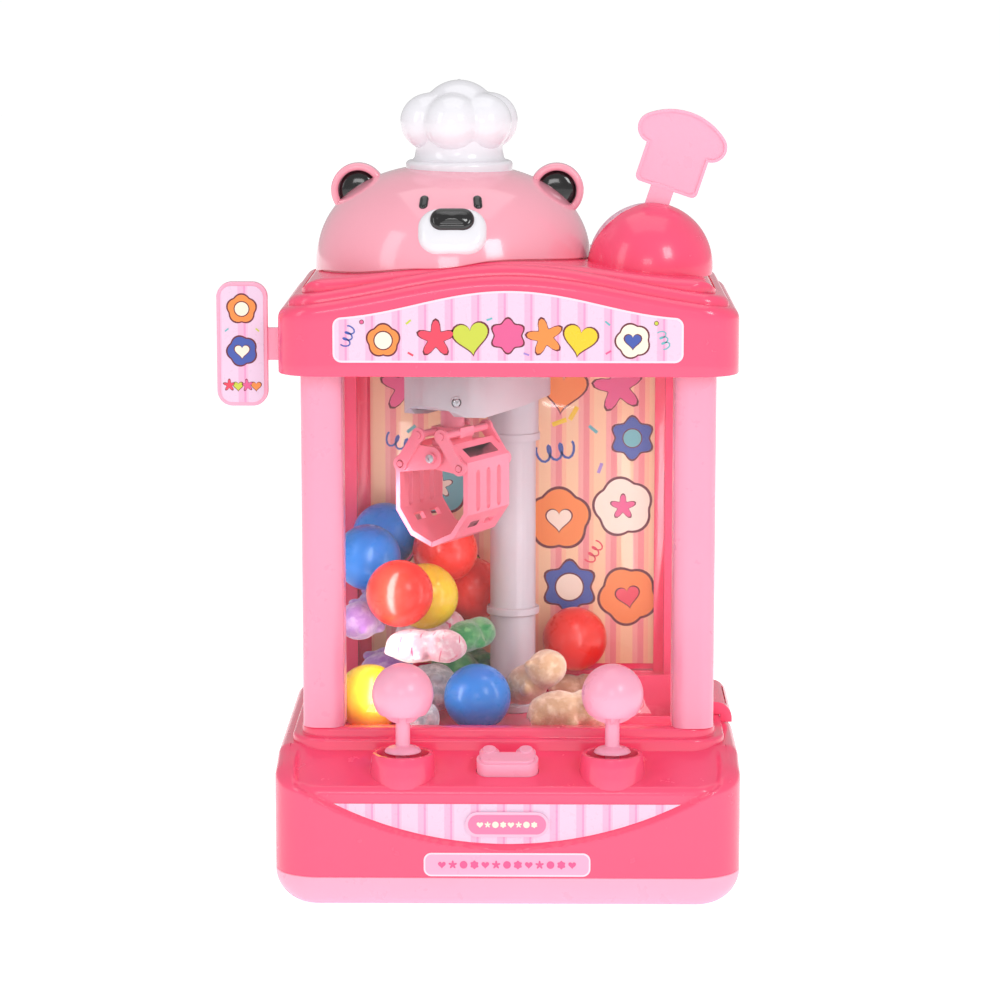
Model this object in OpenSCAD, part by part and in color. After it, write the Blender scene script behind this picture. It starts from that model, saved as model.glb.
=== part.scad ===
// Toy claw crane machine: base with two joysticks, glazed cabin, turning mast with
// a lifting claw arm, wavy roof with a bear head, a chef's hat and sign plates.
// Millimetres, +Z up, front faces -Y, origin under the middle of the base.

/* [Base] */
// Width of the base
base_w = 242; // [240:1:244]
// Depth of the base
base_d = 210; // [208:1:216]
// Height of the light bottom tray
tray_top = 15; // [13:1:17]
// Height of the deck's front edge
deck_front_z = 62; // [60:1:63]
// Wall thickness of the moulded shells
wall = 2.5; // [2:0.1:3]

/* [Cabin] */
// Width of one corner column
column_w = 22; // [21:1:23]
// Height at which the columns stand
sill_z = 84; // [83:0.5:85]
// Height of the cabin floor's upper face
floor_z = 72; // [71:0.5:73]
// Thickness of the clear windows
glass_t = 1.5; // [1:0.1:1.6]

/* [Roof] */
// Underside of the roof fascia
roof_z = 271; // [270:1:272]
// Half width of the roof fascia
roof_hw = 119.5; // [118.5:0.5:120.5]
// Height that the fascia's wave rises in the middle
wave_rise = 15; // [12:1:16]

/* [Claw] */
// Angle of the arm to the left of straight ahead, at rest
arm_turn = 29; // [20:1:32]
// Distance from the mast's axis to the claw's axis
arm_reach = 65; // [62:0.5:65]
// Half width of the closed claw basket
jaw_hw = 22; // [21:0.5:22.5]
// Depth of the claw basket
jaw_d = 44; // [40:1:44]

/* [Controls] */
// Diameter of a joystick's ball
ball_d = 32; // [28:0.5:32]
// Distance of each joystick from the middle
stick_x = 54.3; // [52:0.1:56]

/* [Hidden] */
$fn = 64;
gap = 0.08;                     // running clearance of a turning or sliding fit
play = 0.2;                     // clearance between parts that only sit together

base_r = 24;                    // corner radius of the base in plan
screw_x = 98;                   // the four case screws
screw_y = 82;
smile_r = 203;                  // radius of the smile-shaped recess
smile_z = 30;                   // lowest point of the recess
recess = 2.6;                   // depth of the recess
step_low = [114, -66, 95, 79];  // lower plinth step: half width, front, rear, top
step_top = [109, -62, 91, sill_z];  // upper plinth step, under the columns
cabin_y = (step_top[1] + step_top[2]) / 2;
deck_run = [-101, -66];         // the sloping deck's front and rear edge
deck_rear_z = 73;
deck_tilt = atan((deck_rear_z - deck_front_z) / (deck_run[1] - deck_run[0]));
stick_y = -85;
stick_pivot_z = 58;
ball_z = 107.5;
button_y = -85;

column_x = 97;
column_y = [-51, 80];
column_top = 290;
well = [94, -53.5, 83];         // cabin well: half width, front, rear
side_glass_x = 97;
front_glass_y = -57;

mast = [1.5, 40];
mast_r = 12.5;
mast_top = 286;
floor_t = 3;

chute_x = [46, 93];
chute_y = [1.2, 44.8];
slide_end = [119, 30.5];
hood_top = 86;

roof_y = [-72, 101];
roof_r = 20;
cap_end_z = 320;
cap_rise = 9;
cap_core_hw = 106;
head_c = [-30, 14];
head_r = 74;
head_base = 318;
head_h = 57;
ear_x = [-28, 53];              // the ears' middle and their distance from it
ear_z = 361;
eye_lift = 0.3;                 // the eyes' backs, above the head's surface there
hat_c = [-27, 14];
dome_c = [74.3, -13, 323.5];
dome_r = 33;
toast_c = [87.5, 380.5];        // middle of the toast-shaped plate
toast_tilt = 18.5;

arm_tip = -arm_reach - 5;
pivot = [0, -arm_reach, 223.5];   // the claw's pivot in the arm's own directions
link_eye = [-7, 12];            // upper link pin from the pivot: across, up
shoulder = [-18, -4];           // lower link pin from the pivot
rod_r = 2.5;                    // rod from the claw's yoke up to the arm's cover
rod_top = 280.5;
pinion_c = [mast[0] - 35.4, mast[1]];

ball_r = 18;                    // prize ball

pink_deep = [1.0, 0.30, 0.46];
pink_pale = [1.0, 0.66, 0.78];
coral = [1.0, 0.52, 0.6];
grey_pale = [0.78, 0.74, 0.77];
clear = [0.9, 0.95, 1.0, 0.3];

// ---- shared shapes ----

module rounded(w, d, r) {
  square([w - 2 * r, d], center = true);
  square([w, d - 2 * r], center = true);
  for (x = [-1, 1], y = [-1, 1])
    translate([x * (w / 2 - r), y * (d / 2 - r)]) circle(r);
}

// Upright block with round corners, from a half width, a front and a rear edge
module block(hw, y0, y1, z0, z1, r) {
  translate([0, (y0 + y1) / 2, z0])
    linear_extrude(z1 - z0) rounded(2 * hw, y1 - y0, r);
}

module box(x0, x1, y0, y1, z0, z1) {
  translate([x0, y0, z0]) cube([x1 - x0, y1 - y0, z1 - z0]);
}

// Extrudes a 2D outline of x and z along Y
module along_y(y0, y1) {
  translate([0, y1, 0]) rotate([90, 0, 0]) linear_extrude(y1 - y0) children();
}

// Extrudes a 2D outline of y and z along X, centred
module along_x(w) {
  rotate([90, 0, 90]) translate([0, 0, -w / 2]) linear_extrude(w) children();
}

module tube(r, bore, h) {
  difference() {
    cylinder(r = r, h = h);
    translate([0, 0, -1]) cylinder(r = bore, h = h + 2);
  }
}

function arc(c, r, a0, a1, n) =
  [for (i = [0:n]) let (a = a0 + (a1 - a0) * i / n) [c[0] + r * cos(a), c[1] + r * sin(a)]];

function deck_z(y) = deck_front_z + (y - deck_run[0]) * tan(deck_tilt);

module on_deck(x, y) {
  translate([x, y, deck_z(y)]) rotate([deck_tilt, 0, 0]) children();
}

// Turns a part from straight ahead to the arm's place at rest
module on_arm() {
  translate([mast[0], mast[1], 0]) rotate([0, 0, -arm_turn]) children();
}

// ---- base ----

module tray_outer(inset) {
  low_r = 15;
  intersection() {
    block(base_w / 2 - inset, -base_d / 2 + inset, base_d / 2 - inset, inset, 30, base_r - inset);
    along_y(-base_d, base_d) translate([0, 30]) rounded(base_w - 2 * inset, 60 - 2 * inset, low_r - inset);
    along_x(base_w + 2) translate([0, 30]) rounded(base_d - 2 * inset, 60 - 2 * inset, 4 - inset);
  }
}

module base_tray() {
  color(pink_pale) difference() {
    tray_outer(0);
    difference() {
      tray_outer(wall);
      for (x = [-1, 1], y = [-1, 1])
        translate([x * screw_x, y * screw_y, 0]) cylinder(r = 5, h = 30);
    }
    box(-200, 200, -200, 200, tray_top, 60);
    box(-36, 36, 24, 86, -1, 2);
    box(-33, 33, 27, 83, -1, 4);
    for (x = [-1, 1], y = [-1, 1])
      translate([x * screw_x, y * screw_y, -1]) {
        cylinder(r = 3.2, h = 7);
        cylinder(r = 1.7, h = 30);
      }
  }
}

module case_screws() {
  color("silver") for (x = [-1, 1], y = [-1, 1])
    translate([x * screw_x, y * screw_y, 0]) {
      translate([0, 0, 4]) cylinder(r = 3, h = 2);
      translate([0, 0, 4]) cylinder(r = 1.5, h = 18);
    }
}

module battery_door() {
  color(pink_pale) {
    box(-35.8, 35.8, 24.2, 85.8, 0.3, 2);
    for (x = [-24:8:24]) box(x - 1, x + 1, 40, 70, 2, 2.4);
  }
}

module battery_cells() {
  color("dimgray") for (i = [-1:1])
    translate([-25, 55 + 17 * i, 10.5]) rotate([0, 90, 0]) {
      cylinder(r = 7, h = 48);
      cylinder(r = 2.6, h = 50);
    }
}

module circuit_board() {
  color("seagreen") {
    box(-50, 50, -60, -20, 22, 23.6);
    for (x = [-30, 0, 30]) box(x - 6, x + 6, -46, -34, 23.6, 26);
  }
}

// Side outline of the housing: front wall, sloping deck, level shoulders
function housing_side(t) = concat(
  [[base_d / 2 - t, tray_top - 1], [-base_d / 2 + t, tray_top - 1]],
  arc([-base_d / 2 + 5, deck_front_z - 6], 5 - t / 2, 180, 110, 6),
  [[deck_run[0], deck_front_z - t], [deck_run[1], deck_rear_z - t], [-60, deck_rear_z + 2 - t]],
  arc([base_d / 2 - 6, deck_rear_z - 4], 6 - t / 2, 90, 0, 6));

module housing_outer(t) {
  intersection() {
    block(base_w / 2 - t, -base_d / 2 + t, base_d / 2 - t, tray_top, 90, base_r - t);
    along_x(base_w + 2) polygon(housing_side(t));
    along_y(-base_d, base_d) translate([0, deck_rear_z + 2 - t - 40])
      rounded(base_w - 2 * t, 80, 9);
  }
}

module plinth(t) {
  block(step_low[0] - t, step_low[1] + t, step_low[2] - t, 60, step_low[3] - t, 19);
  block(step_top[0] - t, step_top[1] + t, step_top[2] - t, 60, step_top[3] - t, 15);
}

module button_outline(grow) {
  rounded(32 + 2 * grow, 13 + 2 * grow, 6 + grow);
  for (x = [-1, 1]) translate([x * 9.5, 7]) circle(5.2 + grow);
}

module switch_slot(grow) {
  box(58 - grow, 72 + grow, 100, 110, 34 - grow, 40 + grow);
}

// Smile-shaped outline of the front recess
module smile_outline(inset) {
  intersection() {
    translate([0, smile_z + smile_r]) circle(smile_r - inset, $fn = 200);
    translate([-112, 20]) square([224, 60]);
  }
}

module base_housing() {
  color(pink_deep) difference() {
    union() {
      along_y(-base_d / 2 + recess - 0.2, -base_d / 2 + recess + wall) intersection() {
        smile_outline(-3);
        translate([-115, 25]) square([230, deck_front_z - 27]);
      }
      difference() {
        union() {
          housing_outer(0);
          plinth(0);
        }
        housing_outer(wall);
        block(step_top[0] - wall, step_top[1] + wall, step_top[2] - wall, 50, step_top[3] - wall, 13);
      }
      for (x = [-1, 1]) {
        translate([x * screw_x, -screw_y, tray_top]) cylinder(r = 5, h = 49);
        translate([x * screw_x, screw_y, tray_top]) cylinder(r = 5, h = 58);
      }
      difference() {
        block(well[0] + wall, well[1] - wall, well[2] + wall, 66, sill_z - 1, 12);
        block(well[0] - 4, well[1] + 4, well[2] - 4, 60, 90, 8);
      }
    }
    block(well[0], well[1], well[2], floor_z - floor_t, 95, 9);
    along_y(-base_d / 2 - 1, -base_d / 2 + recess) smile_outline(0);
    along_y(front_glass_y - play, front_glass_y + glass_t + play)
      translate([-87.2, sill_z - 2]) square([174.4, 10]);
    for (x = [-1, 1]) {
      translate([x * stick_x, stick_y, 40]) cylinder(r = 12, h = 60);
      translate([x * (side_glass_x + glass_t / 2), 14.5, sill_z - 2 + 5])
        cube([glass_t + 2 * play, 113.4, 10], center = true);
      box(x * 84 - 0.4, x * 84 + 0.4, step_top[1] - 1, step_top[1] + 0.8, step_low[3], 90);
    }
    on_deck(0, button_y) translate([0, 0, -20]) linear_extrude(40) button_outline(0.2);
    box(well[0] - 4.5, 125, 1, 45, 28, 77);
    switch_slot(0.2);
    translate([-82, 86.5, sill_z - 3.3]) cylinder(r = 2 + gap, h = 10);
    for (x = [-1, 1], y = [-1, 1])
      translate([x * screw_x, y * screw_y, tray_top - 1]) cylinder(r = 1.55, h = 9);
  }
}

module power_switch() {
  color("dimgray") {
    box(59, 64, 101.2, base_d / 2 - 0.2, 34.4, 39.6);
    box(57, 66, 99.2, 102.2, 32, 42);
  }
}

module joystick_collar() {
  rotate_extrude() polygon([
    [9, 50], [11.8, 50], [11.8, 60], [20, 60], [19.4, 65.5], [17.1, 76], [16.2, 77], [14.6, 77], [9, 66]]);
}

module joystick_collars() {
  color(pink_deep) difference() {
    for (x = [-1, 1]) translate([x * stick_x, stick_y, 0]) joystick_collar();
    for (x = [-1, 1]) difference() {
      translate([x * stick_x, stick_y, 40]) tube(30, 11.9, 60);
      along_x(base_w) polygon([[-130, deck_z(-130) + 0.03], [-40, deck_z(-40) + 0.03], [-40, 120], [-130, 120]]);
    }
    translate([-stick_x, stick_y, stick_pivot_z]) rotate([90, 0, 0])
      cylinder(r = 1.5 + gap, h = 30, center = true);
    translate([stick_x, stick_y, stick_pivot_z]) rotate([0, 90, 0])
      cylinder(r = 1.5 + gap, h = 30, center = true);
  }
}

module smile_label() {
  color("thistle") along_y(-base_d / 2 + recess - 0.5, -base_d / 2 + recess) intersection() {
    smile_outline(2.5);
    translate([-100, 20]) square([200, 33.5]);
  }
}

module front_plates() {
  color(pink_pale) {
    translate([0, 0, 43]) along_y(-base_d / 2 + recess - 1.7, -base_d / 2 + recess - 0.5) rounded(43, 13, 6.4);
    translate([0, 0, 22]) along_y(-base_d / 2 - 0.5, -base_d / 2) rounded(86, 12.4, 4);
  }
}

module go_button() {
  color(pink_pale) on_deck(0, button_y) {
    translate([0, 0, -4.6]) linear_extrude(11.6) button_outline(0);
    translate([0, 0, 7]) linear_extrude(1.2) rounded(28, 9.5, 4.5);
    for (x = [-1, 1]) translate([x * 9.5, 7, 7]) cylinder(r1 = 4.6, r2 = 3.4, h = 2);
    translate([0, 0, -6.2]) linear_extrude(1.6) translate([0, 2]) rounded(38, 24, 7);
  }
}

// A joystick: ball with a ribbed lower cap, stem, dust cap and cross pin
module stick(rib_turn) {
  stem_r = 3.75;
  cut_z = -10;
  difference() {
    sphere(d = ball_d);
    translate([0, 0, cut_z - 20]) tube(30, stem_r, 20);
  }
  for (a = [0, 90]) rotate([0, 0, a + rib_turn]) intersection() {
    sphere(d = ball_d - 0.6);
    translate([-20, -1, -20]) cube([40, 2, 22]);
  }
  translate([0, 0, 48 - ball_z]) cylinder(r = stem_r, h = ball_z - 50);
  translate([0, 0, 77 - ball_z]) rotate_extrude()
    polygon([[0, 0], [9.5, 0], [9.5, 0.8], [7.5, 2.2], [4.5, 3], [0, 3]]);
}

module stick_left() {
  color(pink_pale) translate([-stick_x, stick_y, 0]) {
    translate([0, 0, ball_z]) stick(45);
    translate([0, 0, stick_pivot_z]) rotate([90, 0, 0]) cylinder(r = 1.5, h = 23, center = true);
  }
}

module stick_right() {
  color(pink_pale) translate([stick_x, stick_y, 0]) {
    translate([0, 0, ball_z]) stick(0);
    translate([0, 0, stick_pivot_z]) rotate([0, 90, 0]) cylinder(r = 1.5, h = 23, center = true);
  }
}

// ---- cabin ----

module cabin_floor() {
  color(pink_deep) difference() {
    block(well[0] - play, well[1] + play, well[2] - play, floor_z - floor_t, floor_z, 8.8);
    translate([mast[0], mast[1], 60]) cylinder(r = mast_r + gap, h = 20);
    box(chute_x[0] - play, 125, chute_y[0] - play, chute_y[1] + play, 60, 80);
  }
}

// Side outline of the chute's walls, with its top edge at the given height
module chute_side(top) {
  slope = (slide_end[1] - 58) / (slide_end[0] - chute_x[0]);
  polygon([
    [chute_x[0], 56], [chute_x[0], top], [chute_x[1] - 1, top], [chute_x[1] + 0.2, 76],
    [117, 76], [117, 56 + slope * (117 - chute_x[0])]]);
}

module prize_chute() {
  color(pink_deep) difference() {
    union() {
      along_y(chute_y[1] - 2, chute_y[1]) chute_side(90);
      along_y(chute_y[0], chute_y[0] + 2) chute_side(floor_z + 4);
      box(chute_x[0], chute_x[0] + 2, chute_y[0], chute_y[1], 56, floor_z + 6);
      along_y(chute_y[0], chute_y[1]) polygon([
        [chute_x[0], 56], [chute_x[0], 58], slide_end, [slide_end[0], slide_end[1] - 2]]);
    }
    translate([114.5, 50, 70]) rotate([90, 0, 0]) cylinder(r = 1.5 + gap, h = 60);
  }
}

function hood_side(t) = concat(
  [[step_top[0] + play, deck_rear_z + 2], [step_top[0] + play, hood_top - t], [112, hood_top - t]],
  arc([111.5, hood_top - 9], 9 - t, 80, 0, 8),
  [[120.5 - t, deck_rear_z + 2]]);

module outlet_hood() {
  color(pink_deep) difference() {
    along_y(-6, 52) polygon(hood_side(0));
    along_y(-3.5, 49.5) polygon(hood_side(2));
    block(step_low[0] + play, step_low[1] - play, step_low[2] + play, 60, step_low[3] + play, 19);
    box(90, 118, 0.8, 45.2, 60, 84);
  }
}

module prize_flap() {
  color(pink_pale) {
    box(114.8, 117.2, 4, 42, 36, 68.5);
    box(114.8, 119.6, 18, 28, 36, 38);
    translate([114.5, 44.6, 70]) rotate([90, 0, 0]) cylinder(r = 1.5, h = 43.2);
    box(113.4, 116.6, 4, 42, 67.5, 71);
  }
}

// Hollow corner column with its round side outwards and grooves for the windows
module column(x, y) {
  sx = sign(x);
  sy = sign(y - cabin_y);
  difference() {
    translate([x, y, sill_z]) linear_extrude(column_top - sill_z) difference() {
      union() {
        rounded(column_w, column_w, 8);
        translate([-sx * 5, -sy * 5]) square([column_w - 10, column_w - 10], center = true);
        translate([-sx * (column_w / 2 - 4), 0]) square([8, 6], center = true);
      }
      rounded(column_w - 8, column_w - 8, 4);
    }
    if (sy < 0)
      box(x - sx * column_w / 2 - 2.2, x - sx * column_w / 2 + 2.2,
        front_glass_y - play, front_glass_y + glass_t + play, sill_z - 1, column_top + 1);
    box(sx * (side_glass_x + glass_t / 2) - glass_t / 2 - play, sx * (side_glass_x + glass_t / 2) + glass_t / 2 + play,
      y - sy * column_w / 2 - 2.2, y - sy * column_w / 2 + 2.2, sill_z - 1, column_top + 1);
    for (z = [129, 223]) translate([x + sx * (column_w / 2 - 1), y, z]) rotate([0, 90, 0])
      cylinder(r = 1.4, h = 4, center = true);
  }
}

// Rear column with the strip that the door closes against
module rear_column(sx) {
  edge = column_x - column_w / 2;
  color(pink_deep) {
    column(sx * column_x, column_y[1]);
    box(sx * (edge - 2.2) - 3.3, sx * (edge - 2.2) + 3.3, 81, 83.4, sill_z, roof_z);
  }
}

module column_front_left() { color(pink_pale) column(-column_x, column_y[0]); }
module column_front_right() { color(pink_pale) column(column_x, column_y[0]); }
module column_rear_left() { rear_column(-1); }
module column_rear_right() { rear_column(1); }

module window_front() {
  color(clear) box(-87, 87, front_glass_y, front_glass_y + glass_t, sill_z - 1.9, column_top - 1);
}

module side_window(x) {
  color(clear) box(x, x + glass_t, column_y[0] + 9, column_y[1] - 9, sill_z - 1.9, column_top - 1);
}

module window_left() { side_window(-side_glass_x - glass_t); }
module window_right() { side_window(side_glass_x); }

module back_door() {
  color(pink_deep) {
    box(-83.8, 84.2, 85, 88, sill_z + 0.6, roof_z - 3);
    translate([-82, 86.5, sill_z - 3]) cylinder(r = 2, h = roof_z + 6 - sill_z);
    box(70, 80, 88, 94, 176, 192);
  }
}

module back_print() {
  color("moccasin") box(-79, 82, 84.3, 84.95, sill_z + 4, roof_z - 6);
}

// ---- roof ----

function wave(x, hw, z_end, rise) = z_end + rise * (0.5 + 0.5 * cos(180 * x / hw));

// Roof block with a wavy top edge and round shoulders
module wave_block(hw, y0, y1, z0, z_end, rise, r) {
  steps = 24;
  intersection() {
    block(hw, y0, y1, z0, z_end + rise + 1, r);
    along_y(y0 - 1, y1 + 1) polygon(concat(
      [[-hw, z0 - 1]],
      [for (i = [0:steps]) let (x = hw * (2 * i / steps - 1)) [x, wave(x, hw, z_end, rise) - 4 * pow(abs(x) / hw, 10)]],
      [[hw, z0 - 1]]));
  }
}

// The fascia with its two wavy ledges; grow makes it a cutter with clearance
module fascia_solid(grow) {
  wave_block(roof_hw, roof_y[0], roof_y[1], roof_z, 308, wave_rise, roof_r);
  wave_block(roof_hw - 5 + grow, roof_y[0] + 5 - grow, roof_y[1] - 5 + grow, roof_z,
    313 + grow, wave_rise, roof_r - 3);
}

module cap_dome(grow) {
  wave_block(roof_hw - 12, roof_y[0] + 11, roof_y[1] - 11, 300, cap_end_z + grow, cap_rise, 16);
}

// Upright core of the cap, which stands in the fascia's opening
module cap_core(grow, z0, z1) {
  block(cap_core_hw + grow, column_y[0] - 13 - grow, column_y[1] + 13 + grow, z0, z1, 14 + grow);
}

module roof_hood() {
  color(pink_deep) difference() {
    fascia_solid(0);
    block(roof_hw - wall, roof_y[0] + wall, roof_y[1] - wall, roof_z - 1, 300, roof_r - wall);
    cap_core(0, 290, 340);
  }
}

module roof_cap() {
  color(pink_deep) difference() {
    union() {
      intersection() {
        cap_core(-play, 296.2, 340);
        cap_dome(0);
      }
      difference() {
        cap_dome(0);
        fascia_solid(0.1);
      }
    }
    cap_core(-3, 290, 308);
    translate([dome_c[0], dome_c[1], 300]) cylinder(r = 16, h = 40);
  }
}

module ceiling_panel() {
  color(pink_deep) difference() {
    union() {
      block(column_x + 17.5, column_y[0] - 17.5, column_y[1] + 17.5, column_top, 293, 16);
      block(column_x + 8, column_y[0] - 9, column_y[1] + 9, 293, 296, 10);
      translate([mast[0], mast[1], 293]) cylinder(r = 10, h = 8);
      box(-84, 84, 84.5, 88.5, roof_z + 1, column_top);
    }
    translate([mast[0], mast[1], 280]) cylinder(r = 4 + gap, h = 19);
    block(column_x + 5, column_y[0] - 6, column_y[1] + 6, 295, 299, 7);
    translate([-82, 86.5, roof_z - 2]) cylinder(r = 2 + gap, h = 7);
    for (x = [-40, 40]) translate([x, -20, 285]) cylinder(r = 4, h = 12);
  }
}

module header_label() {
  color("thistle") along_y(roof_y[0] - 0.6, roof_y[0]) polygon(concat(
    [[90, 282], [87, 278.5], [-87, 278.5], [-90, 282], [-90, 298.5], [-87, 301.7]],
    [for (x = [-80:8:80]) [x, wave(x, 95, 301.5, wave_rise - 1)]],
    [[87, 301.7], [90, 298.5]]));
}

// Solid half of a full-bodied ellipsoid of revolution, the outside of the bear's head
module head_solid(t) {
  steps = 18;
  translate([head_c[0], head_c[1], head_base]) rotate_extrude($fn = 96) polygon(concat(
    [[0, 0]], [for (i = [0:steps]) let (a = 90 * i / steps)
      [(head_r - t) * pow(cos(a), 0.84), (head_h - t) * pow(sin(a), 0.84)]]));
}

// A frame on the head's front, square to its surface at the muzzle
module on_face() {
  translate([head_c[0] + 1, head_c[1] - 66, 344]) rotate([90 - 28, 0, 0]) children();
}

module bear_head() {
  color(pink_pale) difference() {
    head_solid(0);
    head_solid(wall);
    cap_dome(0.3);
    translate([dome_c[0], dome_c[1], 300]) cylinder(r = dome_r + 1, h = 60);
  }
}

module bear_ears() {
  color(pink_pale) difference() {
    for (x = [-1, 1]) translate([ear_x[0] + x * ear_x[1], head_c[1] + 8, ear_z]) rotate([90, 0, 0]) difference() {
      cylinder(r = 14.5, h = 13);
      translate([0, 0, 6]) cylinder(r = 10.5, h = 10);
    }
    head_solid(-0.05);
  }
}

module bear_muzzle() {
  color("white") difference() {
    on_face() translate([0, 0, -9]) linear_extrude(14) rounded(36, 26, 11);
    head_solid(-0.05);
    cap_dome(0.3);
  }
}

module bear_features() {
  color("black") {
    on_face() translate([0, 5, 5.05]) linear_extrude(3) rounded(21, 12, 5.9);
    for (x = [-1, 1]) on_face() translate([x * 14 - 1, 17.5, -2]) rotate([-21, x * 13, 0])
      translate([0, 0, eye_lift]) linear_extrude(1.4) rounded(4.5, 9, 2.2);
    difference() {
      for (x = [-1, 1]) translate([ear_x[0] + x * ear_x[1], head_c[1] + 2, ear_z]) rotate([90, 0, 0])
        cylinder(r = 10.4, h = 1.7);
      head_solid(-0.05);
    }
  }
}

module chef_hat() {
  lobe_z = 397;
  color("white") difference() {
    translate([hat_c[0], hat_c[1], 0]) {
      translate([0, 0, 366]) rotate_extrude($fn = 72)
        polygon([[0, 0], [28, 0], [28.5, 5], [28, 11], [25, 14], [23.5, 20], [25, 30], [0, 34]]);
      for (a = [0:60:300]) rotate([0, 0, a + 20]) translate([17.5, 0, lobe_z]) sphere(15.5);
      translate([0, 0, lobe_z + 1]) sphere(22);
    }
    head_solid(-0.05);
  }
}

module speaker_dome() {
  color(pink_deep) difference() {
    union() {
      translate(dome_c) sphere(dome_r, $fn = 96);
      translate([dome_c[0], dome_c[1], 318]) cylinder(r = dome_r, h = dome_c[2] - 318, $fn = 96);
    }
    translate(dome_c) sphere(dome_r - wall, $fn = 96);
    translate([dome_c[0], dome_c[1], 280]) cylinder(r = dome_r - wall, h = dome_c[2] - 280, $fn = 96);
    cap_dome(0.05);
    box(dome_c[0] - 60, dome_c[0] + 60, -100, 100, 270, 318.5);
    on_toast() along_y(-2, 2) translate([-1.4 - 6.4, -45]) square([12.8, 25]);
  }
}

module speaker() {
  color("dimgray") translate([dome_c[0], dome_c[1], 0]) {
    translate([0, 0, 312]) cylinder(r = 9, h = 12);
    translate([0, 0, 324]) cylinder(r1 = 9, r2 = 15, h = 6);
  }
}

// Slice of bread: a body, two round lobes and a crown that touches both lobes
module toast_outline(t) {
  rounded(34 - 2 * t, 36 - 2 * t, 3);
  for (x = [-1, 1]) translate([x * 16.3, 10.5]) circle(8 - t);
  intersection() {
    translate([0, -9.7]) circle(34 - t);
    polygon([[0, -9.7], [32.6, 30.7], [-32.6, 30.7]]);
  }
}

module on_toast() {
  translate([toast_c[0], dome_c[1], toast_c[1]]) rotate([0, toast_tilt, 0]) children();
}

module toast_sign() {
  color(pink_pale) on_toast() {
    along_y(-2, 2) difference() {
      toast_outline(0);
      toast_outline(1.5);
    }
    along_y(-1.2, 1.2) toast_outline(0.5);
    along_y(-1.8, 1.8) translate([-1.4 - 6.2, -40]) square([12.4, 24]);
  }
}

module side_sign() {
  color(pink_pale) translate([0, -40, 0]) {
    translate([-139.1, 0, 284.5]) along_y(-2.5, 2.5) rounded(26.6, 65, 8);
    box(-126.5, -roof_hw, -1.5, 1.5, 276, 293);
  }
}

module side_label() {
  color("thistle") translate([-139.1, -42.5, 284.5]) along_y(-0.5, 0) rounded(22.6, 61, 6);
}

// ---- mast, arm and claw ----

module mast_tube() {
  color(grey_pale) translate([mast[0], mast[1], 0]) {
    difference() {
      union() {
        translate([0, 0, 58]) cylinder(r = mast_r, h = mast_top - 58);
        translate([0, 0, floor_z + 0.1]) cylinder(r = 15.5, h = 4);
        translate([0, 0, 126]) cylinder(r = 14.5, h = 4);
      }
      translate([0, 0, 50]) cylinder(r = mast_r - 2, h = mast_top - 53);
    }
    translate([0, 0, mast_top - 0.5]) cylinder(r = 4, h = 11);
  }
}

// Spur gear blank with straight-sided teeth
module gear(teeth, r, h) {
  pts = [for (i = [0:teeth - 1]) for (k = [[-0.36, -1.2], [-0.2, 0.85], [0.2, 0.85], [0.36, -1.2]])
    let (a = 360 * (i + k[0] * 0.72) / teeth) [(r + k[1]) * cos(a), (r + k[1]) * sin(a)]];
  linear_extrude(h) polygon(pts);
}

module slew_gear() {
  color("white") translate([mast[0], mast[1], 61]) difference() {
    gear(56, 28, 6);
    translate([0, 0, -1]) cylinder(r = mast_r, h = 10);
  }
}

module slew_pinion() {
  color("white") translate([pinion_c[0], pinion_c[1], 60]) difference() {
    rotate([0, 0, 180 / 14]) gear(14, 7, 8);
    translate([0, 0, -1]) cylinder(r = 1.5 + gap, h = 6);
  }
}

module slew_motor() {
  color("silver") translate([pinion_c[0], pinion_c[1], 0]) {
    translate([0, 0, 30]) cylinder(r = 12, h = 28);
    translate([0, 0, 58]) cylinder(r = 1.5, h = 6);
    box(-14, 14, -14, 14, 26, 30);
  }
}

// The arm's outside: a boat shape, wider at the claw than around the mast
module arm_solid(t, z0, z1) {
  tip_r = 23 - t;
  root_r = 19 - t;
  root_y = 3;
  lean = asin((tip_r - root_r) / (root_y - arm_tip));
  side = [cos(lean), sin(lean)];
  intersection() {
    translate([0, 0, z0]) linear_extrude(z1 - z0) {
      translate([0, arm_tip]) circle(tip_r, $fn = 96);
      translate([0, root_y]) circle(root_r, $fn = 96);
      polygon([
        [-tip_r * side[0], arm_tip + tip_r * side[1]], [tip_r * side[0], arm_tip + tip_r * side[1]],
        [root_r * side[0], root_y + root_r * side[1]], [-root_r * side[0], root_y + root_r * side[1]]]);
    }
    along_x(80) polygon([
      [30, 282 - t], [-100, 282 - t], [-100, 256], [arm_tip - 20 + t, 250 + t], [arm_tip - 14 + t, 246 + t],
      [-arm_reach - 6, 244.5 + t], [-22, 245.5 + t], [18 - t, 248 + t], [30, 255]]);
  }
}

module arm_bores() {
  translate([0, 0, 200]) cylinder(r = mast_r + gap, h = 100);
  translate([0, -arm_reach, 240]) cylinder(r = 6.25 + gap, h = 30);
}

module arm_housing() {
  color(grey_pale) on_arm() difference() {
    union() {
      difference() {
        arm_solid(0, 240, 268);
        arm_solid(2, 240, 290);
      }
      translate([0, 0, 223]) cylinder(r = 14, h = 45);
      translate([0, 0, 223]) cylinder(r = 14.8, h = 4);
      translate([0, -arm_reach, 247]) cylinder(r = 9, h = 17);
      intersection() {
        arm_solid(1, 240, 268);
        box(-30, 30, -arm_reach - 8, -arm_reach + 8, 251, 254);
      }
    }
    arm_bores();
    // Opening that the plunger and the links rise into
    box(-12, 12, -arm_reach - 26, -arm_reach + 26, 240, 249.5);
    translate([0, -34, 240]) cylinder(r = 2.6, h = 22);
  }
}

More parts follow.
